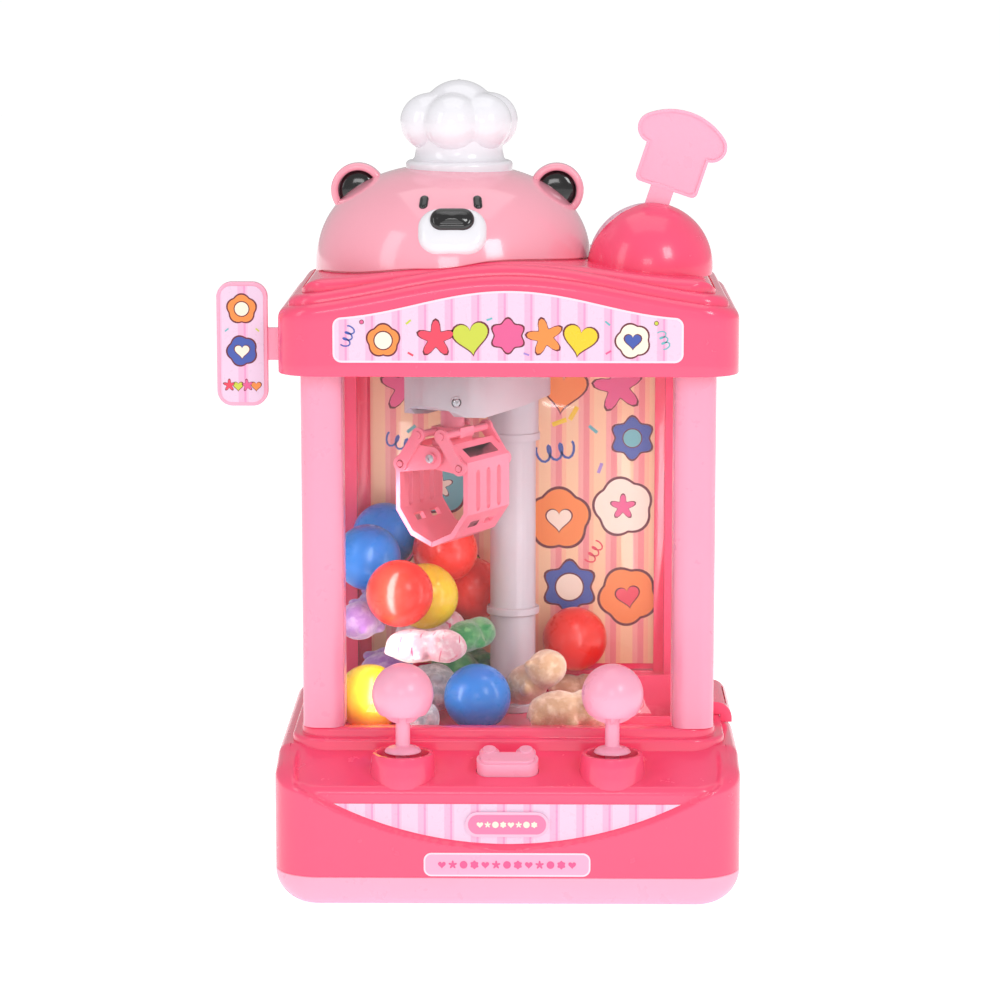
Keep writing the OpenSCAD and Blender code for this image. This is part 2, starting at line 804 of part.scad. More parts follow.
module arm_cover() {
  color(grey_pale) on_arm() difference() {
    union() {
      difference() {
        arm_solid(0, 268.05, 290);
        arm_solid(2, 240, 290);
      }
      translate([0, -arm_reach, 272]) cylinder(r = 6, h = rod_top - 271.5);
    }
    translate([0, -arm_reach, 271]) cylinder(r = rod_r + gap, h = rod_top - 271);
    translate([0, 0, 200]) cylinder(r = mast_r + gap, h = 100);
  }
}

module lift_motor() {
  color("silver") on_arm() {
    translate([-9.6, -22, 267]) rotate([90, 0, 0]) cylinder(r = 5, h = 26);
    box(4.6, 14, -46, -24, 263, 276);
  }
}

module on_claw() {
  on_arm() translate(pivot) children();
}

// Flat plate of the claw, x across and y up, between two places along the arm
module claw_plate(y0, y1) {
  translate([0, y1, 0]) rotate([90, 0, 0]) linear_extrude(y1 - y0) children();
}

module jaw_profile(t) {
  polygon([
    [-jaw_hw + t, -1 - t / 2], [-jaw_hw + t, -29 + t / 3], [-13 + t / 2, -42 + t], [0, -47.5 + t],
    [13 - t / 2, -42 + t], [jaw_hw - t, -29 + t / 3], [jaw_hw - t, -1 - t / 2],
    [11, 8 - t * 1.3], [-11, 8 - t * 1.3]]);
}

// One jaw: half of the eight-sided basket, slotted, with a cheek at each end.
// inner sets how far its cheeks lie inside the basket's ends.
module jaw(inner) {
  half = jaw_d / 2;
  cheek = 2.4;
  difference() {
    claw_plate(-half, half) intersection() {
      difference() {
        jaw_profile(0);
        jaw_profile(2.6);
      }
      translate([-40, -60]) square([39.85, 70]);
    }
    box(-11.5, 12, -30, 30, -2, 12);
    for (y = [-11, 0, 11]) {
      box(-30, -10, y - 2, y + 2, -26, -8);
      for (z = [-26, -8]) translate([-30, y, z]) rotate([0, 90, 0]) cylinder(r = 2, h = 20);
    }
    for (y = [-8, 8]) translate([-17.5, y, -35.5]) rotate([0, -40, 0]) cube([20, 9, 4], center = true);
    translate([-16.8, 0, 2.6]) rotate([0, -39, 0]) cube([6.5, jaw_d - 14, 14], center = true);
  }
  for (s = [-1, 1]) {
    y = s * (half - inner - cheek / 2);
    difference() {
      union() {
        claw_plate(y - cheek / 2, y + cheek / 2) {
          circle(6);
          polygon([[-jaw_hw + 0.5, -9], [-jaw_hw + 0.5, -2], [-11.5, 7], [-1, 5.9], [1, -5.9]]);
        }
        translate([shoulder[0], 0, shoulder[1]]) rotate([90, 0, 0])
          translate([0, 0, s < 0 ? half - inner - cheek : -half - 3]) cylinder(r = 1.5, h = inner + cheek + 3);
      }
      rotate([90, 0, 0]) cylinder(r = 1.5 + gap, h = 80, center = true);
    }
  }
}

module jaw_left() {
  color(coral) on_claw() jaw(0);
}

module jaw_right() {
  color(coral) on_claw() mirror([1, 0, 0]) jaw(2.6);
}

module claw_yoke() {
  reach = jaw_d / 2 - 5.4;
  color(coral) on_claw() {
    translate([0, 0, 4]) cylinder(r = rod_r, h = rod_top - pivot[2] - 4);
    box(-2.5, 2.5, -reach, reach, 4, 8.6);
    for (s = [-1, 1]) {
      claw_plate(s * (reach - 1.2) - 1.2, s * (reach - 1.2) + 1.2) {
        circle(4);
        translate([-2.5, 0]) square([5, 5]);
      }
      translate([0, s * (reach - 2.4), 0]) rotate([s * 90, 0, 0]) cylinder(r = 1.5, h = 9.4);
      translate([0, s * (jaw_d / 2 + 0.2), 0]) rotate([-s * 90, 0, 0])
        cylinder(r = 3, h = 1.8);
      translate([0, s * (reach - 2.4), 0]) rotate([-s * 90, 0, 0]) cylinder(r = 1.5, h = 8.6);
    }
  }
}

module claw_plunger() {
  shaft_len = jaw_d + 7;
  color(coral) on_claw() difference() {
    union() {
      translate([0, 0, 9.4]) cylinder(r = 6.25, h = 28);
      box(-9, 9, -7, 7, 9.4, 14.6);
      for (x = [-1, 1]) translate([x * link_eye[0], 0, link_eye[1]]) rotate([90, 0, 0])
        cylinder(r = 2, h = shaft_len, center = true);
    }
    cylinder(r = rod_r + gap, h = 60);
  }
}

// The two links of one jaw, in front of and behind the basket
module links() {
  t = 2.2;
  run = link_eye - shoulder;
  len = norm(run);
  turn = atan2(run[1], run[0]);
  for (s = [-1, 1]) {
    y = s * (jaw_d / 2 + 0.2 + t / 2);
    claw_plate(y - t / 2, y + t / 2) difference() {
      union() {
        translate(shoulder) circle(4);
        translate(link_eye) circle(3.8);
        translate(shoulder) rotate([0, 0, turn]) translate([0, -3.2]) square([len, 6.4]);
      }
      translate(shoulder) circle(2.1);
      translate(link_eye) circle(2 + gap);
    }
  }
}

module link_left() {
  color(coral) on_claw() links();
}

module link_right() {
  color(coral) on_claw() mirror([1, 0, 0]) links();
}

// ---- prizes, loose in the cabin ----

low_balls = [[-17, -18, 91], [-74.5, -25, 92], [36, 65, 106]];
high_balls = [[-58.5, -20, 148], [-46, 14, 140], [-22, 65.5, 134], [-77.5, 22, 160], [-70, 59, 166], [-36, 44, 160]];

module prize_balls_low() {
  color("dodgerblue") for (p = low_balls) translate(p) sphere(ball_r);
}

module prize_balls_high() {
  color("red") for (p = high_balls) translate(p) sphere(ball_r);
}

// Plain egg-shaped solid of a soft toy, from its middle, half length, radius and turns
module plush(p, half, r, turn, lift) {
  steps = 10;
  translate(p) rotate([0, 90 - lift, turn]) rotate_extrude()
    polygon([for (i = [0:steps]) let (a = -90 + 180 * i / steps) [r * cos(a), half * sin(a)]]);
}

module plush_low() {
  color("tan") {
    plush([33, -31, 86], 24, 13.5, 10, 0);
    plush([14, -2, 98], 22, 12, -35, 35);
    plush([-46, -40, 83], 10, 10.5, 0, 0);
    plush([-52, 12, 88], 26, 15.5, 20, 0);
    plush([-28, 60, 88], 22, 15.5, 60, 0);
    plush([-69, 54, 88], 18, 15.5, 80, 0);
    plush([36, 65, 79.5], 16, 7.2, 0, 0);
  }
}

module plush_high() {
  color("plum") {
    plush([-44, -30, 121], 23, 10.5, -10, 0);
    plush([-79, 2, 130], 20, 12, 70, 0);
    plush([-21, 6, 120], 17, 10, 50, 0);
    plush([-44, 42, 116], 20, 12, 10, 0);
    plush([-74, 54, 128], 15, 11, 80, 0);
  }
}

base_tray();
case_screws();
battery_door();
battery_cells();
circuit_board();
base_housing();
joystick_collars();
smile_label();
front_plates();
power_switch();
cabin_floor();
prize_chute();
outlet_hood();
prize_flap();
column_front_left();
column_front_right();
column_rear_left();
column_rear_right();
window_front();
window_left();
window_right();
back_door();
back_print();
ceiling_panel();
roof_hood();
roof_cap();
header_label();
bear_head();
bear_ears();
bear_muzzle();
bear_features();
chef_hat();
speaker_dome();
speaker();
toast_sign();
side_sign();
side_label();
mast_tube();
slew_gear();
slew_pinion();
slew_motor();
arm_housing();
arm_cover();
lift_motor();
claw_yoke();
claw_plunger();
link_left();
link_right();
jaw_left();
jaw_right();
go_button();
stick_left();
stick_right();
prize_balls_low();
prize_balls_high();
plush_low();
plush_high();
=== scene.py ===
# Toy claw crane machine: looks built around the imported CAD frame. Millimetres inside, metres in Blender.
import random
from math import acos, asin, atan2, cos, degrees, exp, hypot, log, pi, radians, sin, sqrt

import bmesh
import bpy
import numpy as np
from mathutils import Matrix, Vector, noise


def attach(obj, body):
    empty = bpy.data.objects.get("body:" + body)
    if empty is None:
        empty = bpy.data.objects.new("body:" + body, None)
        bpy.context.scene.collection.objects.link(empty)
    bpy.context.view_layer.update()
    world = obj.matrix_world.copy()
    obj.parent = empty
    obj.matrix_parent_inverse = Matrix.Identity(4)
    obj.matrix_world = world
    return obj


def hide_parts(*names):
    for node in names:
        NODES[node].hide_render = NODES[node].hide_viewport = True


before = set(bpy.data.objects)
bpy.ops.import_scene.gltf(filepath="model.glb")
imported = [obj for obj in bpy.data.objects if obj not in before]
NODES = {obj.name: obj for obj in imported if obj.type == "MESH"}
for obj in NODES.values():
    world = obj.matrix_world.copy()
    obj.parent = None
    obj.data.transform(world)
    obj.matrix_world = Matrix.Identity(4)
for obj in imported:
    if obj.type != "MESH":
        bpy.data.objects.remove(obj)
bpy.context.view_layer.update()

MM = 0.001
scene = bpy.context.scene


def srgb(r, g, b):
    def lin(c):
        c /= 255
        return c / 12.92 if c <= 0.04045 else ((c + 0.055) / 1.055) ** 2.4
    return (lin(r), lin(g), lin(b), 1.0)


# ---- materials

class Nodes:
    """Small wrapper for building a node tree."""

    def __init__(self, name):
        self.mat = bpy.data.materials.new(name)
        self.mat.use_nodes = True
        self.tree = self.mat.node_tree
        self.tree.nodes.clear()
        self.out = self.add("ShaderNodeOutputMaterial")

    def add(self, kind, **values):
        n = self.tree.nodes.new(kind)
        for k, v in values.items():
            if hasattr(n, k):
                setattr(n, k, v)
            else:
                n.inputs[k.replace("_", " ")].default_value = v
        return n

    def link(self, a, b):
        self.tree.links.new(a, b)

    def place(self, scale=(1, 1, 1)):
        """Object coordinates in millimetres."""
        tc = self.add("ShaderNodeTexCoord")
        mp = self.add("ShaderNodeMapping")
        mp.inputs["Scale"].default_value = tuple(1000 * s for s in scale)
        self.link(tc.outputs["Object"], mp.inputs["Vector"])
        return mp.outputs["Vector"]

    def noise(self, vector, scale, detail=3, rough=0.55):
        n = self.add("ShaderNodeTexNoise")
        n.inputs["Scale"].default_value = scale
        n.inputs["Detail"].default_value = detail
        n.inputs["Roughness"].default_value = rough
        self.link(vector, n.inputs["Vector"])
        return n.outputs["Fac"]

    def math(self, op, a, b=0.0, c=None):
        n = self.add("ShaderNodeMath", operation=op)
        for i, v in enumerate((a, b, c)):
            if v is None:
                continue
            if isinstance(v, (int, float)):
                n.inputs[i].default_value = v
            else:
                self.link(v, n.inputs[i])
        return n.outputs[0]

    def mix(self, fac, a, b):
        n = self.add("ShaderNodeMix", data_type="RGBA")
        for sock, v in ((n.inputs[0], fac), (n.inputs[6], a), (n.inputs[7], b)):
            if isinstance(v, (int, float, tuple)):
                sock.default_value = v
            else:
                self.link(v, sock)
        return n.outputs[2]

    def ramp(self, value, low, high, to_low=0.0, to_high=1.0):
        n = self.add("ShaderNodeMapRange")
        for i, v in enumerate((low, high, to_low, to_high)):
            n.inputs[i + 1].default_value = v
        self.link(value, n.inputs[0])
        return n.outputs[0]

    def bump(self, height, strength, distance):
        n = self.add("ShaderNodeBump")
        n.inputs["Strength"].default_value = strength
        n.inputs["Distance"].default_value = distance
        self.link(height, n.inputs["Height"])
        return n.outputs["Normal"]

    def finish(self, colour, rough=0.3, normal=None, **more):
        p = self.add("ShaderNodeBsdfPrincipled")
        for name, v in dict(more, Base_Color=colour, Roughness=rough).items():
            sock = p.inputs[name.replace("_", " ")]
            if isinstance(v, (int, float, tuple)):
                sock.default_value = v
            else:
                self.link(v, sock)
        if normal is not None:
            self.link(normal, p.inputs["Normal"])
        self.link(p.outputs[0], self.out.inputs["Surface"])
        return self.mat


def shade_of(colour, k):
    return tuple(c * k for c in colour[:3]) + (1.0,)


def plastic(name, colour, rough=0.25, coat=0.0, speck=0.02, sss=0.0):
    """Moulded plastic: slight flow marks in the colour, wandering gloss and a fine moulded skin."""
    t = Nodes(name)
    v = t.place()
    flow = t.noise(v, 0.02, 4)
    grain = t.noise(v, 1.6, 2)
    fine = t.noise(v, 5.5, 2)
    tone = t.math("ADD", t.math("MULTIPLY", flow, 0.75), t.math("MULTIPLY", grain, 0.25))
    col = t.mix(t.ramp(tone, 0.3, 0.7), shade_of(colour, 1 - speck), shade_of(colour, 1 + speck * 0.6))
    gloss = t.ramp(t.noise(v, 0.09, 5), 0.25, 0.75, rough * 0.82, rough * 1.2)
    extra = dict(Specular_IOR_Level=0.5, Coat_Weight=coat, Coat_Roughness=0.06)
    if sss:
        extra.update(Subsurface_Weight=sss, Subsurface_Radius=(1.0, 0.45, 0.4), Subsurface_Scale=0.003)
    return t.finish(col, gloss, t.bump(fine, 0.06, 0.00006), **extra)


def metal(name, colour, rough):
    """Brushed metal, with its lines along Z."""
    t = Nodes(name)
    v = t.place(scale=(1, 1, 0.08))
    lines = t.noise(v, 2.5, 4)
    col = t.mix(lines, shade_of(colour, 0.85), colour)
    gloss = t.ramp(lines, 0.3, 0.7, rough * 0.8, rough * 1.3)
    return t.finish(col, gloss, t.bump(lines, 0.1, 0.00005), Metallic=1.0)


def clear_sheet(name, tint, gloss=0.04, haze=0.006):
    """Thin clear polystyrene: see-through, shinier at a low angle, with a faint haze."""
    t = Nodes(name)
    v = t.place()
    glass = t.add("ShaderNodeBsdfTransparent")
    glass.inputs["Color"].default_value = tint
    shine = t.add("ShaderNodeBsdfGlossy")
    shine.inputs["Roughness"].default_value = gloss
    graze = t.add("ShaderNodeLayerWeight")
    graze.inputs["Blend"].default_value = 0.5
    t.link(t.bump(t.noise(v, 0.03, 2), 0.25, 0.0004), graze.inputs["Normal"])
    shine_share = t.math("MULTIPLY_ADD", t.math("POWER", graze.outputs["Facing"], 5.0), 0.8, 0.015)
    veil = t.add("ShaderNodeBsdfDiffuse")
    veil.inputs["Color"].default_value = (1, 1, 1, 1)
    hazy = t.add("ShaderNodeMixShader")
    glossy = t.add("ShaderNodeMixShader")
    t.link(t.ramp(t.noise(v, 0.05, 4), 0.35, 0.7, haze * 0.4, haze), hazy.inputs[0])
    t.link(glass.outputs[0], hazy.inputs[1])
    t.link(veil.outputs[0], hazy.inputs[2])
    t.link(shine_share, glossy.inputs[0])
    t.link(hazy.outputs[0], glossy.inputs[1])
    t.link(shine.outputs[0], glossy.inputs[2])
    t.link(glossy.outputs[0], t.out.inputs["Surface"])
    return t.mat


def striped(name, pitch, tones, edges, rough=0.3):
    """Printed stripes: tones from left to right, each ending at its edge in 0..1 of the pitch."""
    clear_of_zero = 1000 * pitch
    t = Nodes(name)
    v = t.place()
    sep = t.add("ShaderNodeSeparateXYZ")
    t.link(v, sep.inputs[0])
    f = t.math("FRACT", t.math("DIVIDE", t.math("ADD", sep.outputs[0], clear_of_zero), pitch))
    col = tones[0]
    for tone, edge in zip(tones[1:], edges):
        step = t.ramp(f, edge - 0.008, edge + 0.008)
        col = t.mix(step, col, tone)
    dots = t.noise(v, 6.0, 1)
    col = t.mix(t.ramp(dots, 0.3, 0.7, 0.0, 0.06), col, (0.35, 0.1, 0.2, 1))
    gloss = t.ramp(t.noise(v, 0.3, 3), 0.3, 0.7, rough * 0.8, rough * 1.25)
    return t.finish(col, gloss, t.bump(t.noise(v, 3.0, 2), 0.05, 0.00005), Coat_Weight=0.3)


def fabric(name, colour, pale, print_tone=None):
    """Short plush pile: clumped tufts, painted shade in the pile's low spots, soft sheen; some have thin
    printed strokes.
    """
    t = Nodes(name)
    v = t.place()
    pile = t.noise(v, 1.5, 6, 0.75)
    clump = t.noise(v, 0.22, 4)
    # painted shade: darker colour where the pile noise is low, the same noise that sinks the bump
    col = t.mix(t.ramp(pile, 0.32, 0.66), shade_of(colour, 0.8), colour)
    col = t.mix(t.ramp(clump, 0.46, 0.68), col, pale)
    if print_tone:
        w = t.add("ShaderNodeTexWave", wave_type="BANDS")
        w.inputs["Scale"].default_value = 0.05
        w.inputs["Distortion"].default_value = 9.0
        w.inputs["Detail"].default_value = 1.0
        t.link(v, w.inputs["Vector"])
        keep = t.ramp(t.noise(v, 0.14, 2), 0.5, 0.56)
        col = t.mix(t.math("MULTIPLY", t.ramp(w.outputs["Fac"], 0.965, 0.985), keep), col, print_tone)
    h = t.math("ADD", pile, t.math("MULTIPLY", clump, 1.5))
    return t.finish(col, 0.92, t.bump(h, 0.7, 0.0007), Sheen_Weight=0.8, Sheen_Roughness=0.5,
                    Specular_IOR_Level=0.15)


MATS = {
    "deep": plastic("deep_pink", srgb(255, 84, 124), 0.24, coat=0.35),
    "pale": plastic("pale_pink", srgb(255, 176, 202), 0.3, coat=0.2, sss=0.12),
    "column": plastic("column_pink", srgb(255, 164, 192), 0.3, coat=0.2, sss=0.1),
    "head": plastic("head_pink", srgb(255, 172, 190), 0.16, coat=0.6),
    "coral": plastic("coral_pink", srgb(255, 138, 160), 0.34, coat=0.1, sss=0.1),
    "grey": plastic("arm_grey", srgb(196, 190, 196), 0.34),
    "white": plastic("gloss_white", srgb(244, 242, 248), 0.18, coat=0.5, speck=0.01),
    "black": plastic("gloss_black", srgb(14, 12, 14), 0.12, coat=0.6, speck=0.3),
    "dark": plastic("dark_plastic", srgb(46, 40, 44), 0.4, speck=0.1),
    "gear": plastic("gear_white", srgb(236, 232, 224), 0.45),
    "steel": metal("screw_steel", srgb(200, 200, 205), 0.3),
    "motor": metal("motor_can", srgb(186, 186, 190), 0.35),
    "cells": plastic("cell_wrap", srgb(60, 70, 96), 0.3, coat=0.4, speck=0.12),
    "board": plastic("board_green", srgb(30, 92, 58), 0.35, coat=0.5, speck=0.25),
    "glass": clear_sheet("clear_window", (0.97, 0.965, 0.97, 1)),
    "label": striped("label_stripes", 13.6, [
        srgb(238, 208, 232), srgb(250, 186, 218), srgb(244, 160, 204), srgb(250, 194, 222)],
        [0.62, 0.84, 0.92]),
    "paper": plastic("label_edge", srgb(252, 226, 240), 0.35),
    "label_pale": plastic("pill_edge", srgb(248, 192, 218), 0.3, coat=0.3),
    "plate": plastic("plate_pink", srgb(252, 176, 208), 0.3, coat=0.4),
    "pill": plastic("pill_pink", srgb(240, 128, 172), 0.3, coat=0.4),
    "print": striped("back_stripes", 15.5, [
        srgb(250, 214, 170), srgb(247, 178, 170), srgb(240, 150, 150), srgb(250, 196, 160)],
        [0.44, 0.62, 0.84], rough=0.4),
    "ink": plastic("ink_brown", srgb(110, 38, 50), 0.4),
    "blue": plastic("ball_blue", srgb(44, 140, 236), 0.28, coat=0.15, sss=0.1),
    "red": plastic("ball_red", srgb(248, 52, 36), 0.28, coat=0.15, sss=0.1),
    "yellow": plastic("ball_yellow", srgb(250, 214, 40), 0.28, coat=0.15, sss=0.1),
    # painted highlight: a paler pink for the dome's grille, standing in for the gloss on its upper back
    "grille": plastic("grille_painted_highlight", srgb(236, 196, 212), 0.4),
    "star": plastic("print_orange", srgb(248, 146, 70), 0.35),
    "heart": plastic("print_red", srgb(236, 72, 96), 0.35),
    "teal": plastic("print_teal", srgb(112, 190, 196), 0.35),
    "lilac": plastic("print_lilac", srgb(170, 140, 214), 0.35),
    "lime": plastic("print_lime", srgb(206, 214, 72), 0.35),
    "navy": plastic("print_blue", srgb(70, 92, 176), 0.35),
    "rose": plastic("print_rose", srgb(232, 96, 150), 0.35),
    "cream": plastic("print_cream", srgb(252, 240, 220), 0.35),
    "fur_tan": fabric("plush_tan", srgb(232, 190, 146), srgb(250, 224, 192)),
    "fur_pink": fabric("plush_pink", srgb(250, 196, 208), srgb(255, 244, 244), srgb(226, 86, 130)),
    "fur_green": fabric("plush_green", srgb(60, 160, 88), srgb(130, 200, 130)),
    "fur_lilac": fabric("plush_lilac", srgb(184, 130, 214), srgb(220, 186, 236)),
    "fur_grey": fabric("plush_grey", srgb(190, 196, 204), srgb(240, 242, 246)),
}


# ---- mesh helpers

def rotation(angle, axis):
    """4 x 4 matrix of a turn given in degrees."""
    return Matrix.Rotation(radians(angle), 4, axis)


def add_object(name, me, mat, body, nodes=(), sharp=32):
    """A piece on its body. mat is a key of MATS, or None for a mesh that has its materials."""
    o = bpy.data.objects.new(name, me)
    scene.collection.objects.link(o)
    if mat:
        me.materials.clear()
        me.materials.append(MATS[mat])
    me.polygons.foreach_set("use_smooth", [True] * len(me.polygons))
    if sharp:
        me.set_sharp_from_angle(angle=radians(sharp))
    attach(o, body)
    if nodes:
        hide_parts(*nodes)
    return o


def mesh_of(name, verts, faces):
    """Mesh in metres from points in millimetres, with its faces turned outwards."""
    me = bpy.data.meshes.new(name)
    me.from_pydata([(v[0] * MM, v[1] * MM, v[2] * MM) for v in verts], [], faces)
    bm = bmesh.new()
    bm.from_mesh(me)
    bmesh.ops.remove_doubles(bm, verts=bm.verts, dist=1e-7)
    bmesh.ops.dissolve_degenerate(bm, dist=1e-8, edges=bm.edges)
    bmesh.ops.recalc_face_normals(bm, faces=bm.faces)
    bm.to_mesh(me)
    bm.free()
    return me


def loft(rings, loop=False):
    """Skin over rings of equal point count, capped at both ends, or joined last to first as a loop.
    A ring of one point is a tip."""
    verts, faces, starts = [], [], []
    for ring in rings:
        starts.append((len(verts), len(ring)))
        verts += list(ring)
    pairs = list(zip(starts, starts[1:])) + ([(starts[-1], starts[0])] if loop else [])
    for (a, na), (b, nb) in pairs:
        n = max(na, nb)
        for i in range(n):
            j = (i + 1) % n
            if na == 1:
                faces.append((a, b + i, b + j))
            elif nb == 1:
                faces.append((a + i, b, a + j))
            else:
                faces.append((a + i, b + i, b + j, a + j))
    for first, count in () if loop else (starts[0], starts[-1]):
        if count > 1:
            faces.append(tuple(range(first, first + count)))
    return verts, faces


def lathe(profile, n=64, at=(0, 0, 0), turn=None):
    """Turns (radius, height) points about Z, then places them."""
    rings = []
    for r, z in profile:
        if r < 1e-6:
            rings.append([Vector((0, 0, z))])
        else:
            rings.append([Vector((r * cos(a), r * sin(a), z))
                          for a in (2 * pi * i / n for i in range(n))])
    m = Matrix.Translation(at) @ (turn.to_4x4() if turn else Matrix.Identity(4))
    return loft([[m @ p for p in ring] for ring in rings])


def fillet(cx, cy, r, a0, a1, n=6):
    """Points of an arc in (radius, height), angles in degrees."""
    return [(cx + r * cos(radians(a0 + (a1 - a0) * i / n)),
             cy + r * sin(radians(a0 + (a1 - a0) * i / n))) for i in range(n + 1)]


def rrect(hw, y0, y1, r, nx=40, ny=30, nc=12):
    """Points of a rounded rectangle with their outward direction: front, right, back, left."""
    pts = []

    def line(p, q, n, d):
        for i in range(n):
            f = i / n
            pts.append((p[0] + (q[0] - p[0]) * f, p[1] + (q[1] - p[1]) * f, d))

    def corner(cx, cy, a0):
        for i in range(nc):
            a = radians(a0 + 90 * i / nc)
            pts.append((cx + r * cos(a), cy + r * sin(a), (cos(a), sin(a))))

    line((-hw + r, y0), (hw - r, y0), nx, (0, -1))
    corner(hw - r, y0 + r, -90)
    line((hw, y0 + r), (hw, y1 - r), ny, (1, 0))
    corner(hw - r, y1 - r, 0)
    line((hw - r, y1), (-hw + r, y1), nx, (0, 1))
    corner(-hw + r, y1 - r, 90)
    line((-hw, y1 - r), (-hw, y0 + r), ny, (-1, 0))
    corner(-hw + r, y0 + r, 180)
    return pts


def smooth(lo, hi, x):
    """0 below lo, 1 above hi, an S-curve between."""
    t = min(1.0, max(0.0, (x - lo) / (hi - lo)))
    return t * t * (3 - 2 * t)


def bake(o):
    """Applies an object's modifiers to its own mesh."""
    dg = bpy.context.evaluated_depsgraph_get()
    me = bpy.data.meshes.new_from_object(o.evaluated_get(dg))
    o.modifiers.clear()
    o.data = me
    return o


def cut(me, cutters):
    """Mesh me minus closed cutter meshes, by exact booleans."""
    o = bpy.data.objects.new("work", me)
    scene.collection.objects.link(o)
    made = []
    for c in cutters:
        co = bpy.data.objects.new("cutter", c)
        scene.collection.objects.link(co)
        made.append(co)
        m = o.modifiers.new("cut", "BOOLEAN")
        m.operation, m.solver, m.object = "DIFFERENCE", "EXACT", co
    bpy.context.view_layer.update()
    bake(o)
    out = o.data
    for x in made + [o]:
        bpy.data.objects.remove(x)
    return out


def prism(outline, z0, z1, m=None):
    """Closed prism mesh data over an (x, y) outline."""
    m = m or Matrix.Identity(4)
    return loft([[m @ Vector((x, y, z)) for x, y in outline] for z in (z0, z1)])


def box_outline(x0, x1, y0, y1):
    return [(x0, y0), (x1, y0), (x1, y1), (x0, y1)]


def circle_outline(cx, cy, r, n=40):
    return fillet(cx, cy, r, 0, 360, n)[:-1]


def cad_look(node, mat, body, width=0.5, segments=2, angle=35):
    """The node's own shape with softly rounded edges."""
    bm = bmesh.new()
    bm.from_mesh(NODES[node].data)
    bmesh.ops.remove_doubles(bm, verts=bm.verts, dist=2e-6)
    bmesh.ops.dissolve_limit(bm, angle_limit=radians(0.6), verts=bm.verts, edges=bm.edges)
    me = bpy.data.meshes.new(node + "_look")
    bm.to_mesh(me)
    bm.free()
    o = add_object(node + "_look", me, mat, body, (node,), sharp=angle)
    b = o.modifiers.new("edges", "BEVEL")
    b.width, b.segments, b.limit_method = width * MM, segments, "ANGLE"
    b.angle_limit = radians(angle)
    b.use_clamp_overlap = True
    b.harden_normals = True
    b.miter_outer = "MITER_ARC"


# ---- base

BASE_HW, BASE_Y, BASE_R = 121.0, 105.0, 24.0
TRAY_TOP = 15.0
SMILE_C, SMILE_R, RECESS, LIP = 233.0, 203.0, 2.6, 2.0   # the smile-shaped recess in the front
STICK_X, STICK_Y = 54.3, -85.0
KNOB_Z, KNOB_R = 107.5, 16.0


def deck_z(y):
    """Height of the sloping deck."""
    return float(np.interp(y, (-105, -66, -60, 105), (60.75, 73.0, 75.0, 75.0)))


def make_tray():
    """Pale bottom tray with screw wells and the recess of the battery door."""
    rows = []
    dense = dict(nx=60, ny=50, nc=16)

    def ring(side, front, z):
        r = max(BASE_R - max(side, front), 9)
        return [Vector((x, y, z)) for x, y, d in
                rrect(BASE_HW - side, -BASE_Y + front, BASE_Y - front, r, **dense)]

    steps = 12
    for i in range(steps + 1):
        a = radians(90 * i / steps)
        side, front = 15 * (1 - sin(a)), 4.5 * (1 - sin(a))
        rows.append(ring(side, front, 15 * (1 - cos(a)) * 0.93))
    rows.append(ring(0, 0, TRAY_TOP - 0.4))
    rows.append(ring(0.4, 0.4, TRAY_TOP))
    rows.append(ring(2.5, 2.5, TRAY_TOP))
    rows.append(ring(3.0, 3.0, TRAY_TOP - 3))
    rows.append(ring(15, 5.5, 2.8))
    me = mesh_of("tray", *loft(rows))
    wells = [mesh_of("c", *prism(circle_outline(sx * 98, sy * 82, 3.2, 24), -2, 8))
             for sx in (-1, 1) for sy in (-1, 1)]
    wells.append(mesh_of("c", *prism(box_outline(-36, 36, 24, 86), -1, 2.2)))
    add_object("tray", cut(me, wells), "pale", "case", ("base_tray",))


